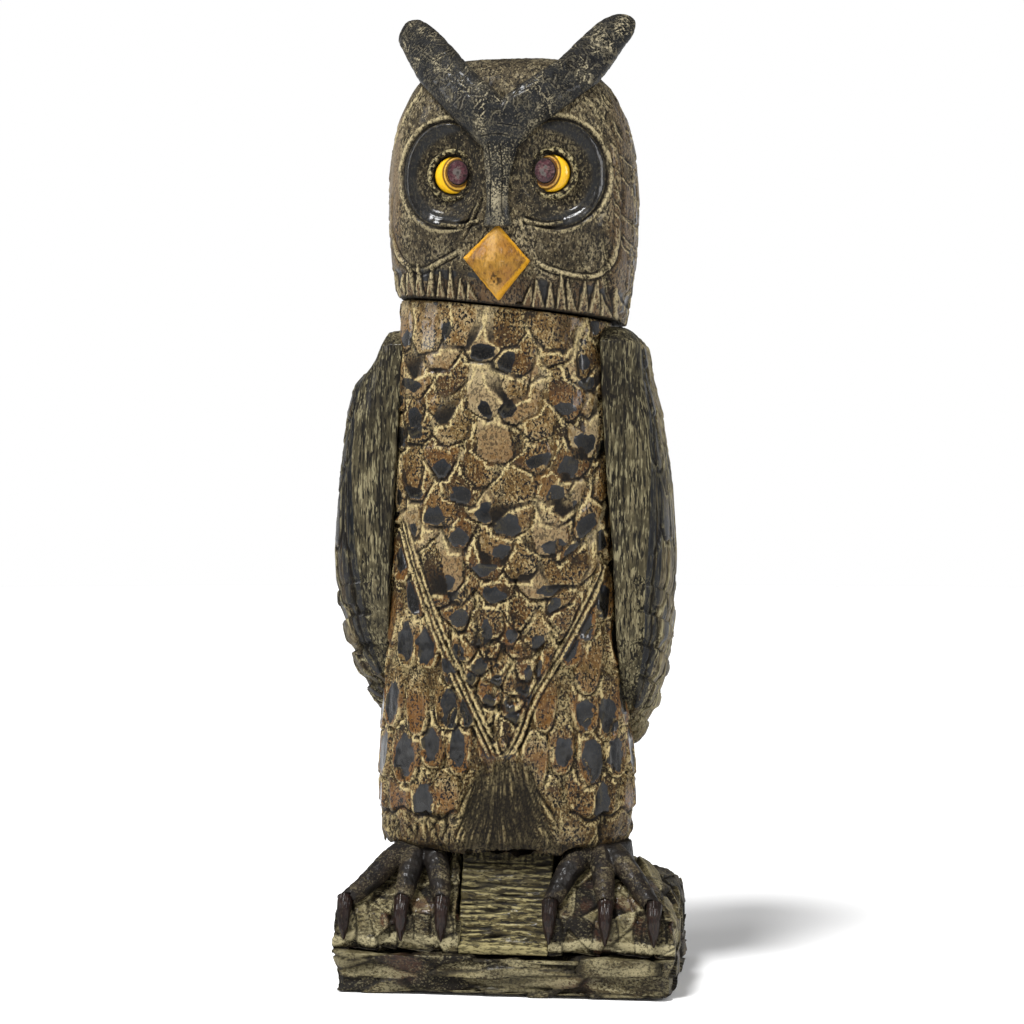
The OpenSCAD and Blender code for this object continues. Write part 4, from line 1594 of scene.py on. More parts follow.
        # Patches of painted sheen in the dark band under the teeth.
        skin.more(patch=dark * 0.5 * smooth(skin.ripple((6, 6, 9), 27), 0.2, 0.5))
        for x in np.arange(-57, 66, 5.6):
            if -10 < x < 13:
                continue
            tall = rng.uniform(11, 19) * (0.8 if abs(x - 3) < 24 else 1.0)
            wide = rng.uniform(1.8, 3.0)
            lean = rng.normal(0, 1.2)
            share = np.clip(line / tall, 0, 1)
            inside = wide * (1 - share) + 0.35 - np.abs(skin.x - x - lean * share)
            tooth = smooth(inside, -0.3, 0.5) * low * (line < tall)
            skin.depth += tooth * 1.5
            skin.shade *= 1 - tooth * 0.9
            skin.patch *= 1 - tooth
            skin.more(edge=tooth * falling(inside, 0.6, 1.8))
            side = on_line(inside + 0.5, 0.2, 0.7) * low * (line < tall)
            skin.groove = np.maximum(skin.groove * (1 - tooth), side)
        skin.depth -= 0.9 * smooth(-line, -6.0, 0.0) * low
        skin.more(groove=0.9 * smooth(-line, -0.7, 0.0))

    def nape(self, skin: Skin) -> None:
        """Small rounded feathers over the back of the head and long strokes on the crown.

        Args:
            skin: The head's surface.
        """
        rng = np.random.default_rng(self.seed + 7)
        turn = np.degrees(np.arctan2(skin.x - 3, skin.y))
        rows = [Feather(
            u + rng.normal(0, 0.8), z + rng.normal(0, 1), rng.uniform(6.2, 7.4), rng.uniform(19, 23),
            shoulder=0.45, blunt=0.1, power=rng.uniform(0.5, 0.7), lift=rng.uniform(0.9, 1.5),
            bevel=(0.28, 0.28, 0.3), crown=0.8, tone=rng.uniform(0, 0.7), warm=rng.uniform(0, 0.6),
            patch=rng.uniform(0.0, 1.1), patch_at=(rng.normal(0, 0.2), rng.uniform(0.66, 0.8)),
            patch_size=(rng.uniform(0.25, 0.6), rng.uniform(0.1, 0.2)))
            for u, z in brick(np.arange(468, 336, -12.0), range(-9, 10), 12.5)]
        where = on_line(turn, 104.0, 112.0) * self.side * falling(skin.z, 456.0, 462.0)
        skin.feathers(turn, skin.z, rows, where, floor=-1.1, wall=0.9)
        top = smooth(skin.normal[:, 2], 0.55, 0.8)
        cuts = []
        for _ in range(46):
            x, y = rng.uniform(-34, 40), rng.uniform(-38, 36)
            cuts.append(((x - 6, y + rng.normal(0, 1)), (x + 6, y + rng.normal(0, 1))))
        skin.strokes(skin.co[:, :2], cuts, 1.7, 0.8, top, pale=0.6)
        skin.more(shade=top * 0.25)


@dataclass
class Brow:
    """The dark V of the two ear tufts and the ridge between the eyes."""

    voxel: float = 0.62
    seed: int = 41

    def build(self) -> None:
        """Cut the brow and hand it over."""
        skin = Skin(remeshed("brow_tufts", "brow_carving", self.voxel, soften=6))
        rng = np.random.default_rng(self.seed)
        fore = smooth(-skin.normal[:, 1], -0.1, 0.25)
        cuts = []
        for out, reach in ((-1, 53), (1, 60)):
            for t in np.linspace(0.06, 1, 34):
                cx, cz = 3 + out * reach * t, 430 + 60 * t ** 0.95
                for _ in range(3):
                    x, z = cx + rng.normal(0, 4.8), cz + rng.normal(0, 4.8)
                    turn = math.radians(rng.choice([30, -55, 75]) * out + rng.normal(0, 16))
                    long = rng.uniform(1.2, 3.4)
                    step = (math.cos(turn) * long, math.sin(turn) * long)
                    cuts.append(((x - step[0], z - step[1]), (x + step[0], z + step[1])))
        high = smooth(skin.z, 428.0, 440.0)
        skin.strokes(skin.front, cuts, 1.2, 0.3, fore * (0.25 + 0.75 * high), pale=1.0)
        worn = fore * smooth(skin.ripple(5.0, 11), -0.4, 0.2)
        for z, wide in ((425, 9), (430, 12)):
            line = through([(2 - wide, z + 1.5), (2, z + 2.5), (3 + wide, z + 0.5)])
            skin.cut(skin.front, line, 1.1, 0.4, worn, pale=0.7)
        notch = through([(-4, 456), (0, 451), (3.6, 447.6), (7, 451.5), (11, 455)])
        skin.cut(skin.front, notch, 1.8, 0.8, fore, pale=0.5)
        for x in (-1.6, 4.4):
            line = through([(x - 1.5, 424), (x, 410), (x - 0.4, 396), (x, 386)])
            skin.cut(skin.front, line, 1.3, 0.7, fore, pale=0.25)
        belly = falling(skin.z, 420.0, 440.0)
        # Dark patches over the brow, with a painted sheen where the layer is low.
        skin.more(patch=(1 - belly * 0.6) * (0.38 + 0.5 * skin.ripple(6.0, 9)))
        skin.depth += 0.9 * high * fore
        tips = smooth(np.abs(skin.x - 3), 26.0, 44.0) * high
        skin.more(edge=tips * smooth(skin.ripple((2.6, 2.6, 1.3), 10), 0.25, 0.6) * 0.8)
        nose = belly * on_line(skin.x - 2 + 1.5 * skin.ripple(9.0, 8), 2.0, 6.0)
        skin.more(edge=nose * falling(skin.z, 396.0, 412.0) * 0.55)
        skin.tone = 0.4 + 0.45 * skin.ripple(9.0, self.seed) + 0.05 * belly
        # Painted shade: darker high on the brow where the surface turns up or down.
        skin.shade = 0.55 * smooth(np.abs(skin.normal[:, 2]), 0.35, 0.85) * high
        skin.grain((3.5, 3.5, 3.5), 0.22, self.seed)
        skin.grain((1.5, 1.5, 1.5), 0.08, self.seed)
        skin.finish("brow_tufts", "brow_wood", paint(Finish.BROW))


@dataclass
class Beak:
    """The ochre diamond of the beak."""

    voxel: float = 0.42
    seed: int = 47

    def build(self) -> None:
        """Cut the beak and hand it over."""
        skin = Skin(remeshed("beak", "beak_carving", self.voxel, soften=3))
        low, high = box_mm("beak")
        cx, cz = (low[0] + high[0]) / 2, (low[2] + high[2]) / 2 + 0.5
        wide, tall = (high[0] - low[0]) / 2, (high[2] - low[2]) / 2
        skin.edge = smooth(np.abs(skin.x - cx) / wide + np.abs(skin.z - cz) / tall, 0.84, 0.95)
        skin.tone = 0.5 + 0.5 * skin.ripple((9, 9, 12), self.seed)
        tip = falling(np.hypot((skin.x - cx) / 4.2, (skin.z - low[2] - 10) / 4.6), 0.4, 1.15)
        marks = skin.ripple(1.4, self.seed + 2)
        skin.groove = tip * smooth(marks, -0.2, 0.35) * 0.85
        skin.warm = 0.5 * smooth(skin.ripple(7.0, self.seed + 3), 0.0, 0.6)
        skin.grain((2.6, 2.6, 3.2), 0.22, self.seed)
        skin.grain((1.0, 1.0, 1.4), 0.06, self.seed + 1)
        skin.finish("beak", "beak_wood", paint(Finish.BEAK), limit=0.8)


@dataclass
class Eyes:
    """Both eyes: a speckled ring, a painted ball and a pupil set towards the beak."""

    voxel: float = 0.3
    seed: int = 53

    def build(self) -> None:
        """Cut the six pieces and hand them over."""
        for side in Side:
            self.ring(side)
            self.ball(side)
            self.pupil(side)

    def centre(self, node: str) -> Array:
        """Middle of a node's box, in millimetres."""
        low, high = box_mm(node)
        return (low + high) / 2

    def ring(self, side: Side) -> None:
        """The raised ring, with small nicks all round.

        Args:
            side: The side that it is on.
        """
        node = f"eye_ring_{side.word}"
        skin = Skin(remeshed(node, f"{node}_carving", self.voxel + 0.08, soften=5))
        centre = self.centre(node)
        turn = np.arctan2(skin.z - centre[2], skin.x - centre[0])
        radius = np.hypot(skin.z - centre[2], skin.x - centre[0])
        around = np.column_stack([turn * 12, radius, skin.y])
        nick = smooth(ripple(around, (1.7, 1.6, 3.0), self.seed), 0.0, 0.4)
        fore = smooth(-skin.normal[:, 1], 0.0, 0.5)
        skin.depth -= nick * 0.45 * fore
        skin.groove = np.maximum(nick * fore * 0.9, falling(radius, 10.1, 10.9))
        worn = 0.45 + 0.55 * smooth(skin.ripple(4.0, self.seed + 9), -0.3, 0.3)
        skin.edge = fore * (1 - nick) * on_line(radius - 12.0, 0.6, 1.6) * worn
        skin.grain((1.2, 1.2, 1.2), 0.18, self.seed + side.value)
        skin.finish(node, "eye_ring_wood", paint(Finish.RING), limit=1.0)

    def ball(self, side: Side) -> None:
        """The yellow ball, with a cut line and a paler ring round the pupil.

        Args:
            side: The side that it is on.
        """
        node = f"eye_{side.word}"
        skin = Skin(remeshed(node, f"{node}_carving", self.voxel, soften=4))
        pupil = self.centre(f"pupil_{side.word}")
        around = np.hypot(skin.x - pupil[0], (skin.z - pupil[2]) / 1.18)
        fore = smooth(-skin.normal[:, 1], 0.1, 0.5)
        lines = np.maximum(on_line(around - 7.7, 0.2, 0.75), on_line(around - 5.9, 0.2, 0.7))
        skin.depth -= lines * fore * 0.4
        skin.groove = lines * fore * 0.85
        skin.tone = np.where(around < 7.7, 0.15, 0.95)
        skin.warm = falling(around, 6.4, 7.6) * 0.9
        skin.edge = on_line(around - 6.8, 0.3, 0.9) * 0.75
        centre = self.centre(node)
        rim = np.hypot(skin.x - centre[0], skin.z - centre[2])
        skin.more(groove=smooth(rim, 8.9, 9.5))
        skin.finish(node, "eye_yellow", paint(Finish.IRIS), limit=0.6)

    def pupil(self, side: Side) -> None:
        """The pupil: a low dome, taller than wide, with a grey middle.

        Args:
            side: The side that it is on.
        """
        node = f"pupil_{side.word}"
        skin = Skin(remeshed(node, f"{node}_carving", self.voxel * 0.8, soften=4))
        centre = self.centre(node)
        dx, dz = skin.x - centre[0], skin.z - centre[2]
        radius = np.hypot(dx, dz)
        skin.co[:, 2] = centre[2] + dz * 1.17
        fore = smooth(-skin.normal[:, 1], 0.2, 0.7)
        skin.depth += fore * 0.7 * (1 - (radius / 5.4) ** 2)
        skin.tone = smooth(radius, 4.5, 1.0) * 0.3 + 0.3
        mottle = skin.ripple(1.7, self.seed + 4)
        skin.patch = falling(radius, 1.0, 4.0) * np.clip(0.25 + 0.6 * mottle, 0, 1)
        skin.edge = falling(radius, 1.4, 3.4) * smooth(mottle, 0.1, 0.5) * 0.6
        skin.groove = np.maximum(smooth(radius, 4.6, 5.2), smooth(-mottle, 0.45, 0.7) * 0.7)
        skin.finish(node, "pupil_brown", paint(Finish.PUPIL), limit=0.8)


@dataclass
class Wing:
    """One folded wing: grained front, long feathers behind, notched tips."""

    side: Side
    widen: float        # how far the shoulder stands out past its blank
    forward: float      # how far the shoulder comes forward
    tuck: float         # how far the shoulder's outer corner is taken in
    fall: float         # how far that corner is taken down
    dark_rim: Point2    # sideways places at which the dark outer edge starts and is full
    worn: float         # how much paler the outer feathers are painted, as painted light on that side, with more dry paint on their edges
    voxel: float = 0.86
    seed: int = 61
    root_x: float = 55.0

    def build(self) -> None:
        """Cut the wing and hand it over."""
        node = f"wing_{self.side.word}"
        skin = Skin(remeshed(node, f"{node}_carving", self.voxel, soften=4))
        low, high = box_mm(node)
        sign = self.side.value
        rng = np.random.default_rng(self.seed + sign)
        shoulder = smooth(skin.z, high[2] - 27, high[2] - 6)
        skin.co[:, 0] += sign * shoulder * self.widen * smooth(skin.x * sign, 50.0, 56.0)
        drop = smooth(skin.z, high[2] - 34, high[2]) * smooth(skin.x * sign, 58.0, 76.0)
        skin.co[:, 0] -= sign * drop * self.tuck
        skin.co[:, 2] -= drop * self.fall * smooth(skin.x * sign, 60.0, 74.0)
        skin.co[:, 1] -= shoulder * self.forward * smooth(-skin.y, -8.0, 4.0)
        angle = np.degrees(np.arctan2(np.maximum(skin.x * sign - self.root_x, 0.0), -(skin.y - 8.0)))
        u = angle * 0.72
        outside = smooth(skin.normal[:, 0] * sign, -0.5, -0.1)
        self.feathers(skin, u, outside, rng)
        self.seam(skin, u, outside, high[2], low[2])
        cuts = []
        for _ in range(150):
            a, z = rng.uniform(2, 125), rng.uniform(low[2] + 20, high[2] - 12)
            long = rng.uniform(6, 22)
            cuts.append(((a, z), (a + rng.normal(0, 1.0), z - long)))
        skin.strokes(np.column_stack([u, skin.z]), cuts, 1.4, 0.45, outside, pale=0.35)
        # The dark outer edge, with patches of painted sheen.
        rim = smooth(np.abs(skin.x), *self.dark_rim) * outside
        skin.more(shade=rim * 0.3, patch=rim * (0.25 + 0.4 * skin.ripple((5, 5, 30), self.seed + 7)))
        bands = skin.ripple((6, 6, 60), self.seed + 4) + 0.4 * skin.ripple((3, 3, 25), self.seed + 5)
        # behind: the outer feathers painted paler, as painted light on that side, with dry paint on their
        # edges.
        behind = smooth(u, 20.0, 40.0) * self.worn
        skin.more(shade=0.6 * smooth(bands, -0.05, 0.7), edge=0.45 * behind * smooth(bands, -0.3, 0.2))
        skin.shade *= 1 - 0.7 * behind
        skin.tone = np.clip(skin.tone - 0.3 * bands + 0.5 * behind, 0, 1)
        step = (skin.z + 0.3 * skin.y + 1.5 * skin.ripple(14.0, self.seed + 6)) / 15.0
        saw = 1 - (step - np.floor(step))
        ragged = falling(skin.z, 195.0, 215.0) * smooth(skin.x * sign, 62.0, 72.0)
        skin.depth -= 2.6 * saw ** 2 * ragged
        skin.more(groove=0.8 * smooth(saw, 0.9, 1.0) * ragged)
        skin.grain((1.5, 1.5, 8.0), 0.2, self.seed)
        skin.grain((0.9, 0.9, 2.6), 0.1, self.seed + 1)
        skin.finish(node, "wing_wood", paint(Finish.WING))

    @staticmethod
    def feathers(skin: Skin, u: Array, outside: Array, rng: np.random.Generator) -> None:
        """Small coverts on the shoulder, then long feathers whose tips make the notches.

        Args:
            skin: The wing's surface.
            u: Way round the wing from its front edge.
            outside: How far each point belongs to the wing's outer side.
            rng: Source of the feathers' differences.
        """
        rows = [Feather(
            a + 30, z + rng.normal(0, 1), rng.uniform(6.5, 8.0), 24, shoulder=0.5, blunt=0.1, power=0.6,
            lift=rng.uniform(0.8, 1.4), bevel=(0.2, 0.2, 0.25), crown=0.6, tone=rng.uniform(0.2, 0.8),
            patch=0.3 * rng.random()) for a, z in brick(np.arange(338, 262, -13.0), range(8), 14)]
        rows += [Feather(
            a + 22, z + rng.normal(0, 3) + 0.12 * (a + 22), rng.uniform(6.4, 7.8), 62 + rng.normal(0, 4),
            shoulder=0.75, blunt=0.2, power=0.55, lift=rng.uniform(1.2, 2.0), bevel=(0.18, 0.22, 0.2),
            crown=0.8, tone=rng.uniform(0.1, 0.8), warm=0.2, patch=0.35 * rng.random(), patch_size=(0.5, 0.3))
            for a, z in brick((280, 250, 222, 196, 172), range(9), 13)]
        where = smooth(u, 21.0, 25.0) * outside
        skin.feathers(u, skin.z, rows, where, floor=-1.3, wall=1.0)

    @staticmethod
    def seam(skin: Skin, u: Array, outside: Array, top: float, tip: float) -> None:
        """The dark polished edge between the wing's front and its outer feathers, with a painted sheen on it.

        Args:
            skin: The wing's surface.
            u: Way round the wing from its front edge.
            outside: How far each point belongs to the wing's outer side.
            top: Height of the wing's top.
            tip: Height of the wing's tip.
        """
        line = through([(25, top - 16), (27, top - 50), (26, 240), (24, 200), (26, tip + 24)])
        flat = np.column_stack([u, skin.z])
        skin.cut(flat, line, 2.6, 1.1, outside, pale=0.3)
        signed, _ = from_line(flat, line)
        gloss = on_line(np.abs(signed) - 2.5, 0.6, 2.2) * outside
        # Dark and varnished, with a painted sheen.
        skin.more(patch=gloss * 0.75)


@dataclass
class Tail:
    """The tail board on the lower back, cut into long feathers."""

    voxel: float = 0.8
    seed: int = 71

    def build(self) -> None:
        """Cut the board and hand it over."""
        skin = Skin(remeshed("tail", "tail_carving", self.voxel, soften=3))
        rng = np.random.default_rng(self.seed)
        rows = []
        for number, (z, long) in enumerate(((150, 62), (128, 66), (112, 62))):
            for k in range(-3, 4):
                rows.append(Feather(
                    (k + 0.5 * (number % 2)) * 9.5, z + rng.normal(0, 1.5) - abs(k) * 2.0, 5.4, long,
                    shoulder=0.82, blunt=0.25, power=0.55, lift=1.3, bevel=(0.25, 0.3, 0.3), crown=0.8,
                    tone=rng.uniform(0.2, 0.9), warm=0.3, patch=0.5, patch_at=(0, 0.86),
                    patch_size=(0.6, 0.06)))
        back = smooth(skin.normal[:, 1], 0.1, 0.4)
        skin.feathers(skin.x, skin.z, rows, back, floor=-1.2, wall=0.9)
        skin.grain((1.3, 1.3, 7.0), 0.2, self.seed)
        skin.finish("tail", "tail_wood", paint(Finish.TAIL))


@dataclass
class Feet:
    """Ankles, ridged toes and claws."""

    voxel: float = 0.52
    claw_voxel: float = 0.42
    ridge_pitch: float = 4.6
    seed: int = 83

    def build(self) -> None:
        """Cut both feet and all the claws and hand them over."""
        for side in Side:
            self.foot(side)
            for place in ("outer", "middle", "inner"):
                self.claw(side, place)

    def foot(self, side: Side) -> None:
        """The ankle and its toes, with cross ridges down each toe.

        Args:
            side: The side that it is on.
        """
        node = f"foot_{side.word}"
        skin = Skin(remeshed(node, f"{node}_carving", self.voxel, soften=4))
        run = -skin.y * 0.8 - skin.z * 0.6 + 1.2 * skin.ripple(6.0, self.seed)
        wave = np.sin(run * 2 * math.pi / self.ridge_pitch)
        upper = smooth(skin.normal[:, 2] - skin.normal[:, 1], 0.1, 0.7)
        toes = upper * smooth(-skin.y, 18.0, 26.0)
        skin.depth += toes * 0.06 * wave
        skin.groove = toes * smooth(-wave, 0.8, 1.0) * 0.4
        scratch = smooth(skin.ripple((9, 3, 1.6), self.seed + 7), 0.45, 0.75)
        skin.edge = np.maximum(toes * smooth(wave, 0.75, 1.0) * 0.25, scratch * 0.6)
        # Patchy painted sheen over the toes.
        skin.patch = 0.1 + 0.55 * smooth(skin.ripple(7.0, self.seed + 8), -0.1, 0.5)
        # Painted shade: darker towards the top, where the ankle goes up under the cuff.
        skin.shade = np.maximum(0.2, 0.75 * smooth(skin.z, 64.0, 74.0))
        skin.tone = 0.4 + 0.4 * skin.ripple(8.0, self.seed + side.value)
        skin.grain((1.4, 1.4, 2.0), 0.2, self.seed + 1)
        skin.grain((7.0, 7.0, 9.0), 0.15, self.seed + 2)
        skin.finish(node, "foot_wood", paint(Finish.FOOT), limit=1.2)

    def claw(self, side: Side, place: str) -> None:
        """One claw, with a ridge down its back.

        Args:
            side: The side that it is on.
            place: Its toe: outer, middle or inner.
        """
        node = f"claw_{side.word}_{place}"
        skin = Skin(remeshed(node, f"{node}_carving", self.claw_voxel, soften=3))
        low, high = box_mm(node)
        middle = (low[0] + high[0]) / 2
        front = smooth(-skin.normal[:, 1], 0.1, 0.6)
        skin.depth += front * 0.35 * on_line(skin.x - middle, 0.2, 1.6) - 0.8
        skin.edge = front * on_line(skin.x - middle, 0.3, 1.0) * 0.2
        # Painted shade down the claw's sides.
        skin.shade = 0.5 * smooth(np.abs(skin.normal[:, 0]), 0.5, 0.9)
        skin.tone = 0.4 + 0.4 * skin.ripple(5.0, self.seed + 5)
        skin.warm = np.full(len(skin.co), 0.8)
        skin.grain((1.4, 1.4, 3.0), 0.14, self.seed + 3)
        skin.finish(node, "claw_wood", paint(Finish.CLAW), limit=1.0)


@dataclass
class Base:
    """Slab, rocks and post, cut with a broad chisel."""

    voxel: float = 1.0
    seed: int = 97
    slab_chips: int = 210
    chip_stretch: float = 4.6   # how much longer than tall a chip of the slab is
    rock_chips: int = 120

    def build(self) -> None:
        """Cut the four blocks and hand them over."""
        self.slab()
        for side in Side:
            self.rock(side)
        self.post()

    @staticmethod
    def seeds_on(places: Array, count: int, seed: int) -> Array:
        """Pick the middles of chips from among a surface's own places."""
        rng = np.random.default_rng(seed)
        return places[rng.choice(len(places), count, replace=False)]

    def slab(self) -> None:
        """Long level chips round the slab, with splintered edges."""
        skin = Skin(remeshed("base_slab", "slab_carving", self.voxel * 0.85, soften=1))
        stretch = np.array([1 / self.chip_stretch, 1 / self.chip_stretch, 1.0])
        places = (skin.co + 1.2 * skin.ripple(9.0, self.seed + 9)[:, None]) * stretch
        seeds = self.seeds_on(places, self.slab_chips, self.seed)
        skin.chips(places, seeds, 2.9, 0.5, self.seed + 1, rim=0.8)
        skin.more(edge=0.7 * on_line(np.abs(skin.normal[:, 2]) - 0.5, 0.1, 0.4),
                  shade=0.42 + 0.35 * skin.ripple((12, 12, 5), self.seed + 7))
        skin.warm = 0.6 * smooth(skin.ripple((22, 22, 8), self.seed), 0.1, 0.6)
        skin.grain((6.0, 6.0, 1.2), 0.16, self.seed + 2)
        skin.finish("base_slab", "base_wood", paint(Finish.BASE))

    def rock(self, side: Side) -> None:
        """Broken faces under a foot, with a ragged pale lower edge and hollows between the claws.

        Args:
            side: The side that it is on.
        """
        node = f"rock_{side.word}"
        skin = Skin(remeshed(node, f"{node}_carving", self.voxel * 0.84, soften=2))
        low, high = box_mm("post")
        wall = (skin.x - (low[0] + high[0]) / 2) * side.value - (high[0] - low[0]) / 2
        rise = falling(wall, 5.0, 9.0) * smooth(skin.z, 50.0, 62.0) * falling(skin.y, 12.0, 22.0)
        skin.co[:, 2] += (high[2] - skin.z.max() - 0.2) * rise
        places = skin.co * np.array([1.0, 0.8, 0.72])
        seeds = self.seeds_on(places, self.rock_chips, self.seed + side.value)
        skin.chips(places, seeds, 2.2, 0.26, self.seed + 3 + side.value, rim=0.9)
        skin.more(shade=0.5 * smooth(skin.ripple(8.0, self.seed + 8), 0.0, 0.6))
        claws = [sum(c[0] for c in box_mm(f"claw_{side.word}_{place}")) / 2
                 for place in ("outer", "middle", "inner")]
        fore = smooth(-skin.normal[:, 1], 0.3, 0.7)
        face = fore * falling(skin.z, 44.0, 50.0) * smooth(skin.z, 24.0, 28.0)
        for middle in claws:
            arch = np.abs(np.hypot((skin.x - middle) / 6.2, (skin.z - 30) / 15.0) - 1.0) * 8
            line = falling(arch, 0.3, 1.2) * face * (skin.z > 27)
            skin.depth -= line * 1.1
            # Painted shade down the rock face under each claw.
            skin.more(groove=line * 0.9, shade=on_line(skin.x - middle, 3.0, 5.5) * face * 0.75)
        wavy = 25.5 + 2.2 * skin.ripple((9, 30, 30), self.seed + 10)
        lip = on_line(skin.z - wavy, 1.6, 3.4) * fore
        skin.depth += lip * 1.1
        skin.shade *= 1 - lip
        skin.more(edge=lip)
        skin.depth -= 0.9 * on_line(skin.z - 21.0, 0.4, 1.4) * fore
        skin.more(groove=on_line(skin.z - 20.8, 0.3, 1.3))
        skin.warm = 0.7 * smooth(skin.ripple((9, 9, 9), self.seed + 4), 0.25, 0.6)
        skin.grain((1.6, 1.6, 3.0), 0.25, self.seed + 5)
        skin.finish(node, "base_wood", paint(Finish.BASE))

    def post(self) -> None:
        """The ramp between the feet, gouged across, with splinters at its foot."""
        skin = Skin(remeshed("post", "post_carving", self.voxel * 0.8, soften=1))
        rng = np.random.default_rng(self.seed + 11)
        fore = smooth(-skin.normal[:, 1], 0.15, 0.5)
        cuts = []
        for _ in range(70):
            z = rng.uniform(25, 66)
            x = rng.uniform(-20, 28)
            long = rng.uniform(8, 24)
            cuts.append(((x - long / 2, z + rng.normal(0, 0.5)), (x + long / 2, z + rng.normal(0, 0.5))))
        skin.strokes(skin.front, cuts, 1.9, 0.9, fore * falling(skin.z, 64.0, 68.0), pale=0.8)
        fan = [((x, 78), (x + rng.normal(0, 1), rng.uniform(60, 67))) for x in np.arange(-20, 30, 2.2)]
        skin.strokes(skin.front, fan, 2.2, 1.6, fore, pale=0.5)
        blot = 0.16 * skin.ripple((16, 16, 7), self.seed + 12)
        # Painted shade: darker towards the top of the ramp, under the trunk.
        skin.shade = np.clip(smooth(skin.z, 40.0, 68.0) * 0.75 + blot * smooth(skin.z, 26.0, 34.0), 0, 1)
        skin.more(edge=0.8 * falling(skin.z, 23.0, 27.0) * fore)
        skin.grain((6.0, 2.0, 1.3), 0.25, self.seed + 6)
        skin.finish("post", "base_wood", paint(Finish.RAMP))


@dataclass
class Dowels:
    """The dowels and pegs keep the frame's own shape and get a plain beech finish."""

    nodes: Sequence[str] = ("neck_dowel", "post_dowels", "leg_dowels", "wing_dowels_left",
                            "wing_dowels_right", "tail_dowels", "base_dowels", "brow_pegs", "beak_peg")

    def build(self) -> None:
        """Give every dowel its finish."""
        for node in self.nodes:
            mesh = frame["nodes"][node].data
            mesh.materials.clear()
            mesh.materials.append(paint(Finish.DOWEL))
            log.info("%s: keeps the frame's mesh", node)


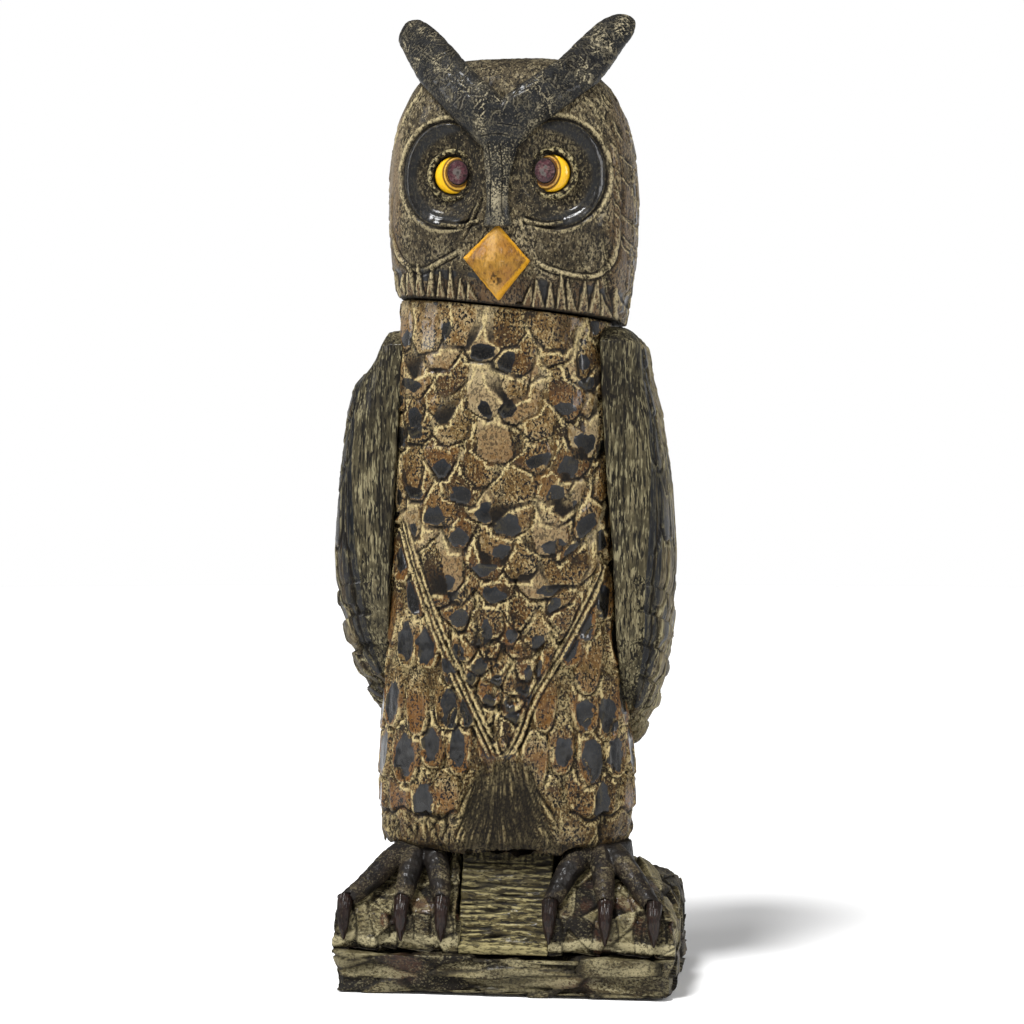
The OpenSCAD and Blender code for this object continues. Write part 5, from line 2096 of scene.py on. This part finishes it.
@dataclass
class Studio:
    """Pale floor, soft light and a camera level with the owl's thighs."""

    azimuth: float = 8.0
    distance: float = 1.150
    height: float = 0.240
    lens: float = 77.58
    shift: float = 0.0029296875     # share of the width that the view is moved sideways
    fades: Sequence[tuple[str, tuple[float, float, float, float]]] = (
        ("Z", (0.24, 0.42, 1.0, 0.22)), ("Y", (-0.1, 0.5, 0.42, 1.0)))

    def build(self) -> None:
        """Set up the floor, the lights and the camera."""
        self.floor()
        self.lights()
        self.room()
        self.camera()

    def floor(self) -> None:
        """A wide pale floor."""
        bpy.ops.object.select_all(action="DESELECT")
        bpy.ops.mesh.primitive_circle_add(vertices=96, radius=6, fill_type="NGON", location=(0, 0, 0))
        floor = bpy.context.active_object
        floor.name = "floor"
        p = Paint("pale floor")
        cloud = p.noise(p.place(), 400, 2.0)
        colour = p.mix(cloud, linear((246, 246, 246)), linear((248, 248, 248)))
        floor.data.materials.append(p.done(colour, 0.8, 0.0, None, specular=0.1))

    def lights(self) -> None:
        """Two broad suns, and two soft boxes for the glints."""
        for name, energy, spread, aim in (("key sun", 4.0, 16, (-30, 60)), ("fill sun", 0.55, 60, (40, 24))):
            light = bpy.data.lights.new(name, "SUN")
            light.energy = energy
            light.angle = math.radians(spread)
            self.place(light, name, aim, 3.0)
        for name, energy, size, aim in (("left soft box", 9.0, 0.7, (-58, 28)),
                                        ("right soft box", 6.0, 0.6, (62, 22))):
            light = bpy.data.lights.new(name, "AREA")
            light.energy = energy
            light.shape = "RECTANGLE"
            light.size, light.size_y = size * 0.5, size
            self.place(light, name, aim, 1.3)

    def room(self) -> None:
        """A pale room all round, dimmer above and in front of the owl than below and behind it."""
        world = bpy.data.worlds.new("pale room")
        world.use_nodes = True
        tree = world.node_tree
        background = tree.nodes["Background"]
        background.inputs["Color"].default_value = (1, 1, 1, 1)
        where = tree.nodes.new("ShaderNodeTexCoord")
        split = tree.nodes.new("ShaderNodeSeparateXYZ")
        both = tree.nodes.new("ShaderNodeMath")
        both.operation = "MULTIPLY"
        tree.links.new(where.outputs["Generated"], split.inputs[0])
        for socket, (axis, span) in zip(both.inputs, self.fades):
            fade = tree.nodes.new("ShaderNodeMapRange")
            fade.interpolation_type = "SMOOTHSTEP"
            for key, value in zip(("From Min", "From Max", "To Min", "To Max"), span):
                fade.inputs[key].default_value = value
            tree.links.new(split.outputs[axis], fade.inputs["Value"])
            tree.links.new(fade.outputs[0], socket)
        tree.links.new(both.outputs[0], background.inputs["Strength"])
        bpy.context.scene.world = world
        bpy.context.scene.view_settings.view_transform = "Standard"

    @staticmethod
    def place(light: bpy.types.Light, name: str, aim: tuple[float, float], reach: float) -> None:
        """Hang a light at an azimuth and a height, turned to the owl.

        Args:
            light: The light.
            name: Its name.
            aim: Azimuth from the front and elevation, in degrees.
            reach: Distance from the owl, in metres.
        """
        turn, lift = (math.radians(a) for a in aim)
        spot = Vector((math.sin(turn) * math.cos(lift), -math.cos(turn) * math.cos(lift), math.sin(lift)))
        obj = bpy.data.objects.new(name, light)
        obj.location = spot * reach + Vector((0, 0, 0.25))
        obj.rotation_euler = spot.to_track_quat("Z", "Y").to_euler()
        bpy.context.scene.collection.objects.link(obj)

    def camera(self) -> None:
        """The camera, a little to the owl's left hand, level."""
        data = bpy.data.cameras.new("camera")
        data.sensor_width = 36
        data.lens = self.lens
        data.shift_x = self.shift
        obj = bpy.data.objects.new("camera", data)
        turn = math.radians(self.azimuth)
        obj.location = (math.sin(turn) * self.distance, -math.cos(turn) * self.distance, self.height)
        obj.rotation_euler = (math.radians(90), 0, turn)
        bpy.context.scene.collection.objects.link(obj)
        bpy.context.scene.camera = obj


def main() -> None:
    """Build the owl and its studio in order."""
    logging.basicConfig(level=logging.INFO, format="%(name)s: %(message)s")
    # The right wing's outer feathers are painted paler, as painted light on that side.
    wings = (Wing(Side.LEFT, widen=0.0, forward=3.0, tuck=9.0, fall=7.0, dark_rim=(80.0, 85.0), worn=0.0),
             Wing(Side.RIGHT, widen=5.5, forward=7.0, tuck=0.0, fall=1.0, dark_rim=(78.0, 83.0), worn=1.0))
    for part in (Studio(), Base(), Feet(), Trunk(), Tail(), *wings, Head(), Brow(), Beak(), Eyes(), Dowels()):
        part.build()
        log.info("%s done", type(part).__name__)


if __name__ == "__main__":
    main()
